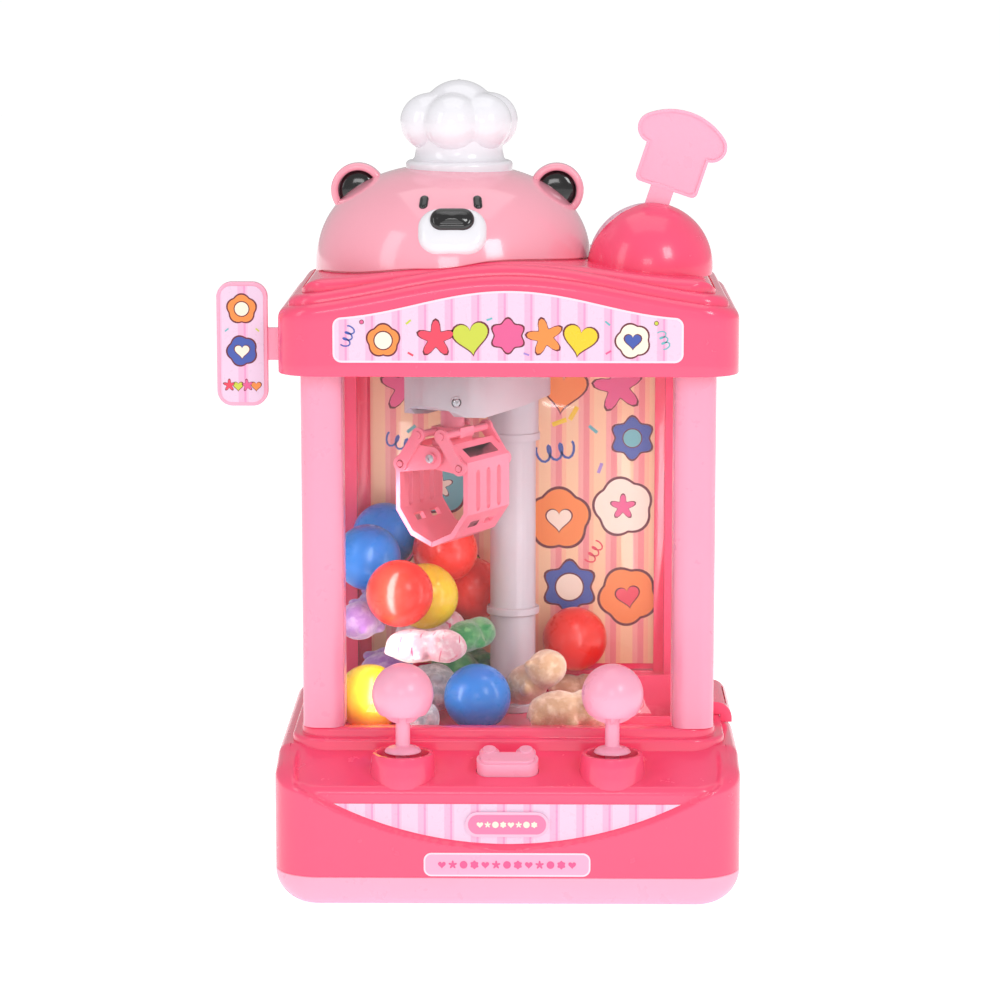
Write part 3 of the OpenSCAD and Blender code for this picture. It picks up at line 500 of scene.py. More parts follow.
def make_housing():
    """Deep pink housing: front with the smile, sunken deck with a lip, two steps, and a wall inside."""
    dense = dict(nx=190, ny=60, nc=30)
    low = TRAY_TOP + 0.05
    rows = []

    def lip(y):
        return LIP * (1 - smooth(-86, -62, y))

    def mask(x, y, z, w):
        """1 where the surface is sunk; w goes from the front's outline to the deck's."""
        front = SMILE_R - hypot(x, z - SMILE_C)
        deck = 109.6 + 1.4 * smooth(-103, -80, y) - abs(x)
        return smooth(-0.3, 2.3, (1 - w) * front + w * deck) * (1 if y < 0 else 0)

    def outer(a, t=None):
        """Wall and edge ring: a is the edge's turn in degrees, t the share of the wall's height."""
        ca, sa = cos(radians(a)), sin(radians(a))
        side, front, rear = 6.4, 5, 6
        k = 1 - ca
        y0, y1 = front * k - BASE_Y, BASE_Y - rear * k
        ring = []
        for x, y, d in rrect(BASE_HW - side * k, y0, y1, BASE_R - 5 * k, **dense):
            e = side * d[0] ** 2 + (front if d[1] < 0 else rear) * d[1] ** 2
            h = deck_z(y) + lip(y)
            z = low + t * (h - e - low) if t is not None else h - e * (1 - sa)
            m = mask(x, y, z, smooth(30, 90, a)) if d[1] < -0.2 else 0
            ring.append(Vector((x, y + RECESS * m * ca, z - m * lip(y) * sa)))
        return ring

    def deck(k):
        """Ring of the deck, k of the way from its edge to the first step."""
        hw, y0, y1 = 114.6 - 0.55 * k, -100 + 33.9 * k, 99 - 3.95 * k
        return [Vector((x, y, deck_z(y) + (1 - mask(x, y, 0, 1)) * lip(y)))
                for x, y, d in rrect(hw, y0, y1, 19, **dense)]

    def flat(hw, y0, y1, r, z):
        return [Vector((x, y, z(y) if callable(z) else z)) for x, y, d in rrect(hw, y0, y1, r, **dense)]

    def step(hw, y0, y1, r, z, soft):
        for a in (0, 22.5, 45, 67.5, 90):
            s = soft * (1 - cos(radians(a)))
            rows.append(flat(hw - s, y0 + s, y1 - s, r - s, z - soft + soft * sin(radians(a))))

    for i in range(45):
        rows.append(outer(0, i / 44))
    for a in range(10, 91, 10):
        rows.append(outer(a))
    for i in range(1, 35):
        rows.append(deck(i / 34))
    step(114, -66, 95, 19, 79, 1.6)
    rows.append(flat(109.8, -62.8, 91.8, 15.8, 79))
    rows.append(flat(109.1, -62.1, 91.1, 15.1, 79.5))
    step(109, -62, 91, 15, 84, 1.6)
    # the cabin's opening, the underside of the steps and the deck, and the inside of the wall
    for ring in ((94.7, -54.2, 83.7, 9.7, 84), (94.2, -53.7, 83.2, 9.2, 83.8), (94, -53.5, 83, 9, 83.2),
                 (94, -53.5, 83, 9, 68.5), (96.5, -56, 85.5, 11, 68.5), (96.6, -56.1, 85.6, 11, 71.6),
                 (111, -64, 92, 16, lambda y: deck_z(y) - 2.6), (112, -95, 96, 17, lambda y: deck_z(y) - 2.6),
                 (118, -98.5, 102, 20, lambda y: deck_z(y) - 9), (118.4, -99.6, 102.4, 21, 40),
                 (118.4, -102.3, 102.4, 21, 27), (118.4, -102.3, 102.4, 21, low)):
        rows.append(flat(*ring))
    me = mesh_of("housing", *loft(rows, loop=True))
    on_deck = Matrix.Translation((0, STICK_Y, deck_z(STICK_Y))) @ Matrix.Rotation(atan2(11, 35), 4, "X")
    button = [(x, y) for x, y, d in rrect(16.3, -6.8, 6.8, 6.3, 8, 4, 8)]
    stick_holes = [prism(circle_outline(s * STICK_X, STICK_Y, 12), 40, 100) for s in (-1, 1)]
    button_hole = [prism(button, -20, 20, on_deck)]
    button_hole += [prism(circle_outline(s * 9.5, 7, 5.5), -20, 20, on_deck) for s in (-1, 1)]
    switch_slot = prism(box_outline(57.8, 72.2, 99, 110), 33.8, 40.2)
    outlet = prism(box_outline(89.5, 126, 1, 45), 28, 77)
    door_pivot = prism(circle_outline(-82, 86.5, 2.2, 24), 80.7, 95)
    cutters = [mesh_of("c", *c) for c in (*stick_holes, *button_hole, switch_slot, outlet, door_pivot)]
    add_object("housing", cut(me, cutters), "deep", "case", ("base_housing",))


def make_collars():
    """Flared collars round the joysticks, cut off just below the deck."""
    collar = [(11.9, 56), (11.9, 63), (9.6, 65.5), (11.2, 70.5), (13.2, 75.2)] + \
        fillet(14.1, 75.9, 0.8, 160, 60, 3) + fillet(15.0, 75.8, 0.9, 72, 14, 4) + \
        [(16.3, 71.4), (16.9, 66.6), (17.2, 63.5), (17.3, 61.0), (17.3, 56)]
    for i, s in enumerate((-1, 1)):
        v, f = lathe(collar + [collar[0]], 72, (s * STICK_X, STICK_Y, 0))
        for p in v:
            if hypot(p.x - s * STICK_X, p.y - STICK_Y) > 14:
                p.z = max(p.z, deck_z(p.y) - 1)
        me = mesh_of("collar", v, f)
        add_object("collar_%d" % i, me, "deep", "case", ("joystick_collars",), 40)


def make_stick(name, body, s, ribs):
    """Joystick: knob with two crossed ribs under it, skirt, stem and cross pin."""
    x, y = s * STICK_X, STICK_Y
    knob = [(0, KNOB_Z + KNOB_R)] + fillet(0, KNOB_Z, KNOB_R, 84, -36, 20)
    knob += [(12.6, 97.6), (12.2, 97.2), (11.7, 97.3), (11.2, 97.9), (9.0, 98.6), (6.0, 97.6), (4.4, 95.8)]
    stem = [(3.75, 94.0), (3.75, 80.6), (4.3, 80.1), (5.4, 79.9), (7.6, 79.3), (9.0, 78.2), (9.5, 77.2),
            (9.3, 76.9), (3.75, 76.9), (3.75, 48), (0, 48)]
    me = mesh_of(name, *lathe(knob + stem, 64, (x, y, 0)))
    add_object(name + "_ball", me, "pale", body, (name,), 40)
    rib = [(-12.0, -10.3)] + fillet(0, 0, 15.5, -140, -40, 20) + [(12.0, -10.3), (11.0, -8), (-11.0, -8)]
    for k, a in enumerate(ribs):
        m = Matrix.Translation((x, y, KNOB_Z)) @ rotation(a, "Z")
        me = mesh_of("rib", *loft([[m @ Vector((p, q, z)) for p, z in rib] for q in (-1.0, -0.8, 0.8, 1.0)]))
        add_object("%s_rib_%d" % (name, k), me, "pale", body, ())
    across = Matrix.Rotation(radians(90), 3, "X" if s < 0 else "Y")
    pin = [(0, -11.5), (1.2, -11.5), (1.5, -11.2), (1.5, 11.2), (1.2, 11.5), (0, 11.5)]
    me = mesh_of("pin", *lathe(pin, 24, (x, y, 58), across))
    add_object(name + "_pin", me, "pale", body, ())


make_tray()
make_housing()
make_collars()
make_stick("stick_left", "stick_l", -1, (45, 135))
make_stick("stick_right", "stick_r", 1, (0, 90))
cad_look("go_button", "pale", "go", 0.7, 3)

# ---- roof

ROOF_HW, ROOF_Y, ROOF_R = 119.5, (-72.0, 101.0), 20.0
CAP_HW, CAP_Y, CAP_MID = 107.5, 75.5, 14.5


def wave(x, hw, end, rise):
    """Height of a crest that ends level at x = +-hw."""
    u = min(1.0, abs(x) / hw)
    return end + rise * (0.5 + 0.5 * cos(pi * u))


def ledge_z(x):
    """Top of the hood's outer edge."""
    return wave(x, ROOF_HW, 308, 15) - 3.2 * min(1, abs(x) / ROOF_HW) ** 10


def cap_z(x, y):
    """Top of the roof cap, with its round shoulders."""
    drop = max(0.0, max(-61 + 6 - y, y - 90 + 6)) / 6
    side = max(0.0, abs(x) - CAP_HW + 12) / 12
    return wave(x, CAP_HW, 320, 9) - 5 * (1 - sqrt(max(0, 1 - min(1, drop) ** 2))) \
        - 9 * (1 - sqrt(max(0, 1 - min(1, side) ** 2)))


def make_roof():
    """Hood with a rounded edge and an inner lip, and the crested cap on it."""
    dense = dict(nx=90, ny=40, nc=14)

    def ring(inset, z):
        return [Vector((x, y, z(x) if callable(z) else z)) for x, y, d in
                rrect(ROOF_HW - inset, ROOF_Y[0] + inset, ROOF_Y[1] - inset, max(ROOF_R - inset, 5), **dense)]

    rows = [ring(1.0, 271), ring(0.35, 271.25), ring(0, 271.9)]
    for i in range(1, 7):
        rows.append(ring(0, lambda x, k=i / 6: 271.9 + k * (ledge_z(x) - 5.2 - 271.9)))
    for a in range(15, 91, 15):
        ca, sa = cos(radians(a)), sin(radians(a))
        rows.append(ring(5.0 * (1 - ca), lambda x, s=sa: ledge_z(x) - 5.2 * (1 - s)))
    rows.append(ring(5.15, lambda x: ledge_z(x) - 0.5))
    rows.append(ring(5.3, lambda x: ledge_z(x) - 0.1))
    for a in range(0, 91, 15):
        ca, sa = cos(radians(a)), sin(radians(a))
        rows.append(ring(5.4 + 4.6 * (1 - ca), lambda x, s=sa: ledge_z(x) + 5 - 4.2 * (1 - s)))
    rows.append(ring(13.4, lambda x: ledge_z(x) + 5))
    rows.append(ring(13.5, 300))
    rows.append(ring(2.6, 300))
    rows.append(ring(2.5, 271))
    me = mesh_of("roof", *loft(rows, loop=True))
    add_object("roof_fascia", me, "deep", "case", ("roof_hood",))

    def cap_ring(s, z):
        return [Vector((x, y, z(x, y) if callable(z) else z)) for x, y, d in
                rrect(CAP_HW * s, CAP_MID - CAP_Y * s, CAP_MID + CAP_Y * s, 16 * max(s, 0.05), **dense)]

    cap = [cap_ring(0.02, 303), cap_ring(0.97, 303), cap_ring(1.0, lambda x, y: ledge_z(x) + 4.4)]
    cap.append(cap_ring(1.0, lambda x, y: cap_z(x * 0.985, CAP_MID + (y - CAP_MID) * 0.985) - 1.5))
    for s in (0.998, 0.992, 0.983, 0.972, 0.958, 0.94, 0.92, 0.89, 0.84, 0.76, 0.64, 0.5,
              0.35, 0.2, 0.08, 0.01):
        cap.append(cap_ring(s, cap_z))
    me = mesh_of("roof_cap", *loft(cap))
    add_object("roof_cap_look", me, "deep", "case", ("roof_cap",), 40)


HEAD_C, HEAD_R, HEAD_BASE, HEAD_H, FULL = (-30.0, 14.0), 74.0, 318.0, 57.0, 0.84
HAT_X, HAT_Y = -27, 14
DOME_X, DOME_Y, DOME_Z, DOME_R, SEAM = 74.3, -13, 323.5, 33.0, 58.0


def make_head():
    """Bear's head standing on the cap, hollowed for the dome, with ears, eyes, muzzle and nose."""
    n, rows = 120, 40
    cols = []
    for i in range(n):
        az = 2 * pi * i / n
        base = 322.0
        for _ in range(4):
            s = max(0.0, (base - HEAD_BASE) / HEAD_H) ** (1 / FULL)
            r = HEAD_R * max(0.0, 1 - s * s) ** (FULL / 2)
            base = max(HEAD_BASE + 0.2, cap_z(HEAD_C[0] + r * cos(az), HEAD_C[1] + r * sin(az)))
        a0 = asin(min(1, max(0.0, (base + 0.9 - HEAD_BASE) / HEAD_H) ** (1 / FULL)))
        col = [(r - 4, base - 3), (r - 1.6, base - 1.0), (r - 1.6, base + 0.45), (r - 0.35, base + 0.6)]
        for k in range(rows):
            a = a0 + (pi / 2 - a0) * (k / rows) ** 0.9
            col.append((HEAD_R * cos(a) ** FULL, HEAD_BASE + HEAD_H * sin(a) ** FULL))
        cols.append([(HEAD_C[0] + q * cos(az), HEAD_C[1] + q * sin(az), z) for q, z in col])
    rings = [[cols[i][k] for i in range(n)] for k in range(len(cols[0]))]
    rings.append([(HEAD_C[0], HEAD_C[1], HEAD_BASE + HEAD_H)])
    me = mesh_of("head", *loft(rings))
    hollow = fillet(0, DOME_Z, 34, -80, 80, 20)
    ball = mesh_of("c", *lathe([(0, 285)] + hollow + [(0, 357.5)], 64, (DOME_X, DOME_Y, 0)))
    add_object("head", cut(me, [ball]), "head", "case", ("bear_head",), 40)

    back = Matrix.Rotation(radians(-90), 3, "X")
    rim = [(0, 13)] + fillet(10.2, 8.7, 4.3, 90, 0, 6) + fillet(12.5, 2.0, 2.0, 0, -180, 10) + \
        [(10.5, 3.0), (10.5, 7.6), (0, 7.6)]
    lens = [(0, 1.7), (4, 1.8), (7, 2.1), (9, 2.7), (10.1, 3.7), (10.3, 7.2), (0, 7.3)]
    for side, s in (("l", -1), ("r", 1)):
        c = (-28 + s * 53, 9, 361)
        me = mesh_of("ear", *lathe(rim, 64, c, back))
        add_object("ear_" + side, me, "head", "case", ("bear_ears",), 40)
        me = mesh_of("ear_insert", *lathe(lens, 48, c, back))
        add_object("ear_insert_" + side, me, "black", "case", ("bear_features",), 50)

    face = Matrix.Translation((HEAD_C[0] + 1, HEAD_C[1] - 66, 344)) @ rotation(62, "X")

    def pillow(name, size, z, soft, bulge, mat, node, y=0, m=face):
        """Pad with soft edges; size is its width, depth and corner radius, z its foot and its top."""
        w, d, r = size
        rows = []

        def ring(inset, height, s=1.0):
            pts = rrect((w / 2 - inset) * s, (-d / 2 + inset) * s, (d / 2 - inset) * s,
                        max(r - inset, 0.6) * s, 8, 6, 14)
            return [m @ Vector((p, y + q, height + bulge * (1 - s ** 2))) for p, q, _ in pts]

        rows.append(ring(0, z[0]))
        for k in range(9):
            a = radians(90 * k / 8)
            rows.append(ring(soft * (1 - cos(a)), z[1] - bulge - soft * (1 - sin(a))))
        for s in (0.92, 0.82, 0.68, 0.5, 0.3, 0.12):
            rows.append(ring(soft, z[1] - bulge, s))
        rows.append([m @ Vector((0, y, z[1]))])
        add_object(name, mesh_of(name, *loft(rows)), mat, "case", (node,), 50)

    pillow("muzzle", (36, 26, 11), (-9, 5.0), 5.5, 0.8, "white", "bear_muzzle")
    pillow("nose", (23, 12.6, 6.25), (3.6, 8.6), 3.0, 1.6, "black", "bear_features", y=5)
    for side, s in (("l", -1), ("r", 1)):
        m = face @ Matrix.Translation((s * 14 - 1, 17.5, -2)) @ rotation(s * 13, "Y") @ rotation(-21, "X")
        pillow("eye_" + side, (4.7, 9.2, 2.3), (-1.6, 1.5), 1.5, 0.2, "black", "bear_features", m=m)


def make_hat():
    """Chef's hat: a band, and puffs melted into one skin."""
    band = [(0, 365), (26.8, 365)] + fillet(26.9, 367.5, 1.6, -90, 0, 4) + \
        fillet(26.4, 374.9, 2.1, 0, 90, 5) + [(25.0, 377.2), (23.9, 378.6), (23.4, 381.5), (23.4, 385)] + \
        [(24.2, 389), (25.2, 393), (18, 398), (0, 399)]
    me = mesh_of("hat_band", *lathe(band, 96, (HAT_X, HAT_Y, 0)))
    add_object("hat_band", me, "white", "case", ("chef_hat",), 45)
    o = Vector((HAT_X, HAT_Y, 397))
    lobes = [(Vector((HAT_X + 17.2 * cos(a), HAT_Y + 17.2 * sin(a), 397.5)), 15.4)
             for a in map(radians, range(20, 380, 60))] + [(Vector((HAT_X, HAT_Y, 398.5)), 21.4)]
    n, m = 144, 60
    rings = [[o + Vector((0, 0, -13))]]
    for k in range(1, m):
        el = pi * (k / m - 0.5)
        ring = []
        for i in range(n):
            az = 2 * pi * i / n
            d = Vector((cos(el) * cos(az), cos(el) * sin(az), sin(el)))
            hits = []
            for c, r in lobes:
                oc = c - o
                b = d.dot(oc)
                q = b * b - oc.length_squared + r * r
                hits.append(b + sqrt(q) if q > 0 else b * 0.4 + 8)
            top = max(hits)
            t = top + log(sum(exp(h - top) for h in hits)) - 0.4
            if el < 0:
                t = min(t, 13.2 / max(0.05, -sin(el)))
            ring.append(o + d * t)
        rings.append(ring)
    rings.append([o + Vector((0, 0, 22.9))])
    me = mesh_of("hat_top", *loft(rings))
    add_object("hat_top", me, "white", "case", (), 0)


def make_dome():
    """Speaker dome: a ball sunk in the cap, with a grille inside its seam."""
    c = Vector((DOME_X, DOME_Y, DOME_Z))
    axis = Vector((-0.50, 0.66, 0.56)).normalized()
    m = Matrix.Translation(c) @ axis.to_track_quat("Z", "Y").to_matrix().to_4x4()
    rings = [[m @ Vector((0, 0, DOME_R))]]
    n = 120
    angles = [3 + 2.6 * i for i in range(21)] + [SEAM - 1.2, SEAM - 0.6, SEAM, SEAM + 0.8]
    angles += [SEAM + 2 + 4 * i for i in range(30) if SEAM + 2 + 4 * i < 178]
    for a in angles:
        r = DOME_R - (0.15 if a < SEAM - 1 else 0.9 if a < SEAM + 0.1 else 0)
        out, up = r * sin(radians(a)), r * cos(radians(a))
        rings.append([m @ Vector((out * cos(t), out * sin(t), up))
                      for t in (2 * pi * i / n for i in range(n))])
    rings.append([m @ Vector((0, 0, -DOME_R))])
    me = mesh_of("dome", *loft(rings))
    below = mesh_of("c", *prism(box_outline(30, 120, -60, 40), 280, 319))
    me = cut(me, [below])
    add_object("dome", me, "deep", "case", ("speaker_dome",), 40)
    # the grille behind the seam: rows of slots pressed in; its paler tone is a painted highlight, and the
    # slot dents are painted dark as the shade inside holes
    me.materials.append(MATS["grille"])
    me.materials.append(MATS["dark"])
    bm = bmesh.new()
    bm.from_mesh(me)
    slots = []
    inv = m.inverted()
    for f in bm.faces:
        p = inv @ (f.calc_center_median() / MM)
        pol = degrees(acos(max(-1, min(1, p.z / max(p.length, 1e-6)))))
        if p.length < DOME_R - 2.5 or pol > SEAM - 1.3:
            continue
        # painted highlight: the grille's faces take the paler tone
        f.material_index = 1
        az = (degrees(atan2(p.y, p.x)) + 360) % 360
        row = int((pol - 3) / 2.6)
        col = int(az / 3)
        step = max(1, round(2.2 / (DOME_R * sin(radians(max(pol, 4))) * radians(3))))
        if row % 2 == 0 and 3 < pol < 56 and len(f.verts) == 4 and col % (step * 2) < step:
            slots.append(f)
    bmesh.ops.inset_individual(bm, faces=slots, thickness=0.0002, depth=0.0)
    # painted shade: the dents take the dark plastic where the holes would be in shade
    for f in slots:
        f.material_index = 2
        for v in f.verts:
            v.co += (c * MM - v.co).normalized() * 0.0006
    bm.to_mesh(me)
    bm.free()
    me.set_sharp_from_angle(angle=radians(40))


make_roof()
make_head()
make_hat()
make_dome()
for node, tone, body, width, segments in (
        ("toast_sign", "pale", "case", 0.3, 3), ("side_sign", "pale", "case", 1.2, 3),
        ("ceiling_panel", "deep", "case", 0.5, 2), ("outlet_hood", "deep", "case", 0.7, 2),
        ("prize_chute", "deep", "case", 0.4, 2), ("prize_flap", "pale", "flap", 0.4, 2),
        ("back_door", "deep", "door", 0.6, 2), ("mast_tube", "grey", "mast", 0.6, 3),
        ("arm_housing", "grey", "arm", 0.8, 3), ("arm_cover", "grey", "arm", 1.6, 3),
        ("claw_yoke", "coral", "arm", 0.3, 2), ("claw_plunger", "coral", "plunger", 0.5, 2),
        ("link_left", "coral", "plunger", 0.35, 2), ("link_right", "coral", "plunger", 0.35, 2),
        ("jaw_left", "coral", "jaw_l", 0.45, 2), ("jaw_right", "coral", "jaw_r", 0.45, 2)):
    cad_look(node, tone, body, width, segments)

ARM_WAY = radians(-119)
TIP_WAY = ARM_WAY + 0.73
CHEEK, TIP = Vector((-30.0, -16.85, 223.5)), Vector((-32.4, -21.2, 254))


def screw(name, middle, reach, way, r, sunk):
    """Screw head that looks along way, reach out from middle; when it's sunk, a ring round it and a dark disc
    under it as painted shade in the recess.
    """
    out = Vector((cos(way), sin(way), 0))
    at, turn = middle + reach * out, out.to_track_quat("Z", "Y").to_matrix()
    head = [(0, -1.0), (r, -1.0), (r, 0.2), (r * 0.86, 0.45), (r * 0.3, 0.5), (r * 0.26, 0.1), (0, 0.1)]
    add_object(name, mesh_of(name, *lathe(head, 32, at, turn)), "steel", "arm", (), 40)
    if sunk:
        ring = [(r + 0.2, -1), (r + 1.5, -1), (r + 1.4, 0.3), (r + 1.0, 0.5), (r + 0.6, 0.3), (r + 0.2, -1)]
        add_object(name + "_ring", mesh_of("ring", *lathe(ring, 40, at, turn)), "grey", "arm", (), 40)
        # painted shade: a dark disc fills the sunk recess where shade falls round the screw
        recess_shade = [(0, -0.9), (r + 0.7, -0.9), (r + 0.7, 0.08), (0, 0.08)]
        add_object(name + "_recess_shade", mesh_of("recess_shade", *lathe(recess_shade, 32, at, turn)), "dark", "arm", (), 40)


screw("cheek_screw", CHEEK, 24.1, ARM_WAY, 2.3, False)
screw("tip_screw", TIP, 22.9, TIP_WAY, 2.0, True)
for side in ("left", "right"):
    cad_look("column_front_" + side, "column", "case", 0.5, 2)
    cad_look("column_rear_" + side, "deep", "case", 0.5, 2)


# ---- printed sheets

def turns(n, radius):
    """Outline from a radius that depends on the share of the turn."""
    shares = [(radius(i / n), 2 * pi * i / n) for i in range(n)]
    return [(r * sin(a), r * cos(a)) for r, a in shares]


def heart_outline():
    pts = []
    for i in range(36):
        a = -2 * pi * i / 36
        up = 13 * cos(a) - 5 * cos(2 * a) - 2 * cos(3 * a) - cos(4 * a)
        pts.append((sin(a) ** 3, up / 16))
    return pts


def band(points, half):
    """Outline of a line of points given a half width."""
    left, right = [], []
    for i, p in enumerate(points):
        a, b = points[max(i - 1, 0)], points[min(i + 1, len(points) - 1)]
        d = Vector((b[0] - a[0], b[1] - a[1])).normalized()
        left.append((p[0] - d.y * half, p[1] + d.x * half))
        right.append((p[0] + d.y * half, p[1] - d.x * half))
    return left + right[::-1]


MARKS = {
    "star": turns(40, lambda u: 0.72 + 0.28 * cos(10 * pi * u)),
    "flower": turns(48, lambda u: 0.88 + 0.12 * cos(12 * pi * u)),
    "cloud": turns(48, lambda u: 0.86 + 0.14 * abs(cos(5 * pi * u))),
    "disc": turns(32, lambda u: 1.0),
    "heart": heart_outline(),
    "strip": [(-1, -0.3), (1, -0.3), (1, 0.3), (-1, 0.3)],
    "curl": band([(-1 + 2 * i / 30 - 0.22 * sin(i * 0.63), 0.45 * cos(i * 0.63))
                  for i in range(31)], 0.07),
}
INKED = ("star", "flower", "cloud", "disc", "heart")


def print_sheet(name, y, marks, body, node, inked=True):
    """Flat marks a hair proud of a sheet that faces forwards; each is (shape, x, z, size, turn, tone)."""
    verts, faces, tones = [], [], []

    def put(shape, x, z, size, turn, tone, lift):
        m = Matrix.Translation((x, y, z)) @ rotation(90, "X") @ rotation(turn, "Z")
        v, f = prism([(size * a, size * b) for a, b in MARKS[shape]], -0.1, lift, m)
        faces.extend([[k + len(verts) for k in face] for face in f])
        verts.extend(v)
        tones.extend([tone] * len(f))

    for i, (shape, x, z, size, turn, tone) in enumerate(marks):
        under = 0.16 * sum(hypot(x - q[1], z - q[2]) < q[3] for q in marks[:i])
        if inked and shape in INKED:
            put(shape, x, z, size + 0.08 * size + 0.25, turn, "ink", under + 0.07)
        put(shape, x, z, size, turn, tone, under + 0.14)
    me = mesh_of(name, verts, faces)
    used = sorted(set(tones))
    for tone in used:
        me.materials.append(MATS[tone])
    for poly, tone in zip(me.polygons, tones):
        poly.material_index = used.index(tone)
    add_object(name, me, None, body, (node,), 20)


def sheet(name, outline, y0, y1, mat, body, node):
    """Thin sheet over an (x, z) outline, from y0 forward to y1."""
    m = rotation(90, "X")
    add_object(name, mesh_of(name, *prism(outline, -y0, -y1, m)), mat, body, (node,), 20)


def header_outline(inset):
    """Outline of the crested header label, drawn in by inset."""
    hw, low, r = 90 - inset, 278.5 + inset, 4.5 - inset
    pts = [(x, wave(x, 95, 301.5, 14) - inset) for x in np.linspace(-hw + r, hw - r, 60)]
    top_l, top_r = pts[0][1], pts[-1][1]

    def corner(cx, cz, a0):
        return fillet(cx, cz, r, a0, a0 - 90)

    pts += corner(hw - r, top_r - r, 75)[:-1] + corner(hw - r, low + r, 0)
    return pts + corner(-hw + r, low + r, 270) + corner(-hw + r, top_l - r, 180)[:-1]


def plate_outline(hw, z, half, r):
    """Outline of a rounded plate in (x, z), centred on x = 0."""
    return [(x, z + q) for x, q, _ in rrect(hw, -half, half, r, 6, 4, 12)]


sheet("header_rim", header_outline(0), -71.9, -72.5, "paper", "case", "header_label")
sheet("header_stripes", header_outline(1.1), -72.4, -72.6, "label", "case", "header_label")
print_sheet("header_marks", -72.6, (
    ("star", -37, 291, 9.5, 0, "heart"), ("heart", -19, 292, 9.0, 8, "lime"),
    ("flower", 0, 292.5, 8.8, 0, "rose"), ("star", 19, 292, 9.5, 12, "star"),
    ("heart", 37, 291, 8.6, -10, "yellow"),
    ("cloud", -64, 290, 8.2, 0, "star"), ("disc", -64, 290, 4.4, 0, "cream"),
    ("cloud", 64, 290, 8.6, 20, "cream"), ("heart", 64, 290, 4.2, 0, "navy"),
    ("curl", -82, 292, 5.0, 70, "navy"), ("curl", 80, 290.5, 4.4, 110, "teal"),
    ("strip", -51, 299.5, 1.6, 40, "lime"), ("strip", -50, 283, 1.6, -30, "heart"),
    ("strip", 51, 299, 1.6, -40, "teal"), ("strip", 51.5, 284, 1.6, 30, "rose"),
    ("strip", -9.5, 301, 1.5, 20, "teal"), ("strip", 9.5, 283, 1.5, -20, "lilac"),
    ("disc", -75, 299.5, 0.9, 0, "rose"), ("disc", 76, 299, 0.9, 0, "lime")),
    "case", "header_label")
sheet("back_sheet", box_outline(-79, 82, 88, 265), 84.95, 84.3, "print", "door", "back_print")
print_sheet("back_marks", 84.3, (
    ("star", -59, 246, 14, 0, "rose"), ("heart", -28, 247, 13, 6, "lime"), ("flower", 1, 247, 13, 0, "heart"),
    ("heart", 29, 245, 13, -6, "star"), ("star", 60, 246, 14, 10, "rose"),
    ("curl", 25, 209, 10, 10, "navy"), ("strip", 35, 231, 4.2, 60, "yellow"),
    ("strip", 27, 226, 4.2, 20, "yellow"), ("strip", 46, 222, 3.0, -40, "teal"),
    ("strip", 8, 222, 3.0, 30, "rose"), ("strip", -56, 222, 3.0, 40, "teal"),
    ("flower", 68, 217, 12, 0, "navy"), ("disc", 68, 217, 5, 0, "teal"),
    ("cloud", 27, 171, 17, 0, "star"), ("heart", 27, 171, 7, 0, "cream"),
    ("cloud", 63, 178, 16, 12, "cream"), ("star", 63, 178, 7, 0, "rose"),
    ("flower", 33, 132, 15, 0, "navy"), ("disc", 33, 132, 7.5, 0, "cream"),
    ("cloud", 66, 127, 16, 30, "star"), ("heart", 66, 127, 6.5, 10, "heart"),
    ("cloud", -40, 190, 16, 0, "teal"), ("star", -40, 190, 7, 0, "cream"), ("curl", -62, 214, 8, -20, "navy"),
    ("flower", -60, 160, 14, 0, "rose"), ("disc", -60, 160, 6, 0, "cream"), ("curl", 47, 152, 6, 60, "heart"),
    ("star", -20, 138, 12, 0, "lime"), ("strip", 50, 200, 3.0, 70, "lilac")),
    "door", "back_print")
SIGN_X = -139.1
side_outline = [(x + SIGN_X, z) for x, z in plate_outline(11.3, 284.5, 30.5, 6)]
sheet("side_sheet", side_outline, -42.5, -43, "label", "case", "side_label")
print_sheet("side_marks", -43, (
    ("cloud", SIGN_X, 303, 7.4, 0, "star"), ("disc", SIGN_X, 303, 3.6, 0, "cream"),
    ("cloud", SIGN_X, 281, 7.6, 20, "navy"), ("heart", SIGN_X, 281, 3.8, 0, "cream"),
    ("star", -146, 263, 3.0, 0, "heart"), ("heart", -141.3, 262.6, 2.5, 0, "lime"),
    ("star", -136.6, 263, 3.0, 8, "rose"), ("heart", -131.9, 262.6, 2.5, 0, "star"),
    ("strip", -147, 292, 1.2, 40, "teal"), ("strip", -131, 292, 1.2, -40, "lime")),
    "case", "side_label")
for name, outline, y0, y1, tone in (
        ("plate_rim", plate_outline(43, 22, 6.2, 4), -104.9, -105.25, "paper"),
        ("plate_face", plate_outline(42.1, 22, 5.3, 3.2), -105.2, -105.35, "plate"),
        ("pill_rim", plate_outline(21.5, 43, 6.5, 6.4), -102.8, -104.1, "label_pale"),
        ("pill_face", plate_outline(20.1, 43, 5.1, 5.05), -104, -104.25, "pill")):
    sheet(name, outline, y0, y1, tone, "case", "front_plates")
PLATE_ROW = ("heart", "star", "disc", "flower")
plate_marks = [(PLATE_ROW[i % 4], -33.6 + 5.6 * i, 22, 2.3 if i % 2 else 2.0, 0, "rose") for i in range(13)]
pill_marks = [(PLATE_ROW[i % 4], -14 + 4 * i, 43, 1.7, 0, "cream") for i in range(8)]
print_sheet("plate_marks", -105.35, plate_marks, "case", "front_plates", inked=False)
print_sheet("pill_marks", -104.25, pill_marks, "case", "front_plates", inked=False)


# ---- prizes

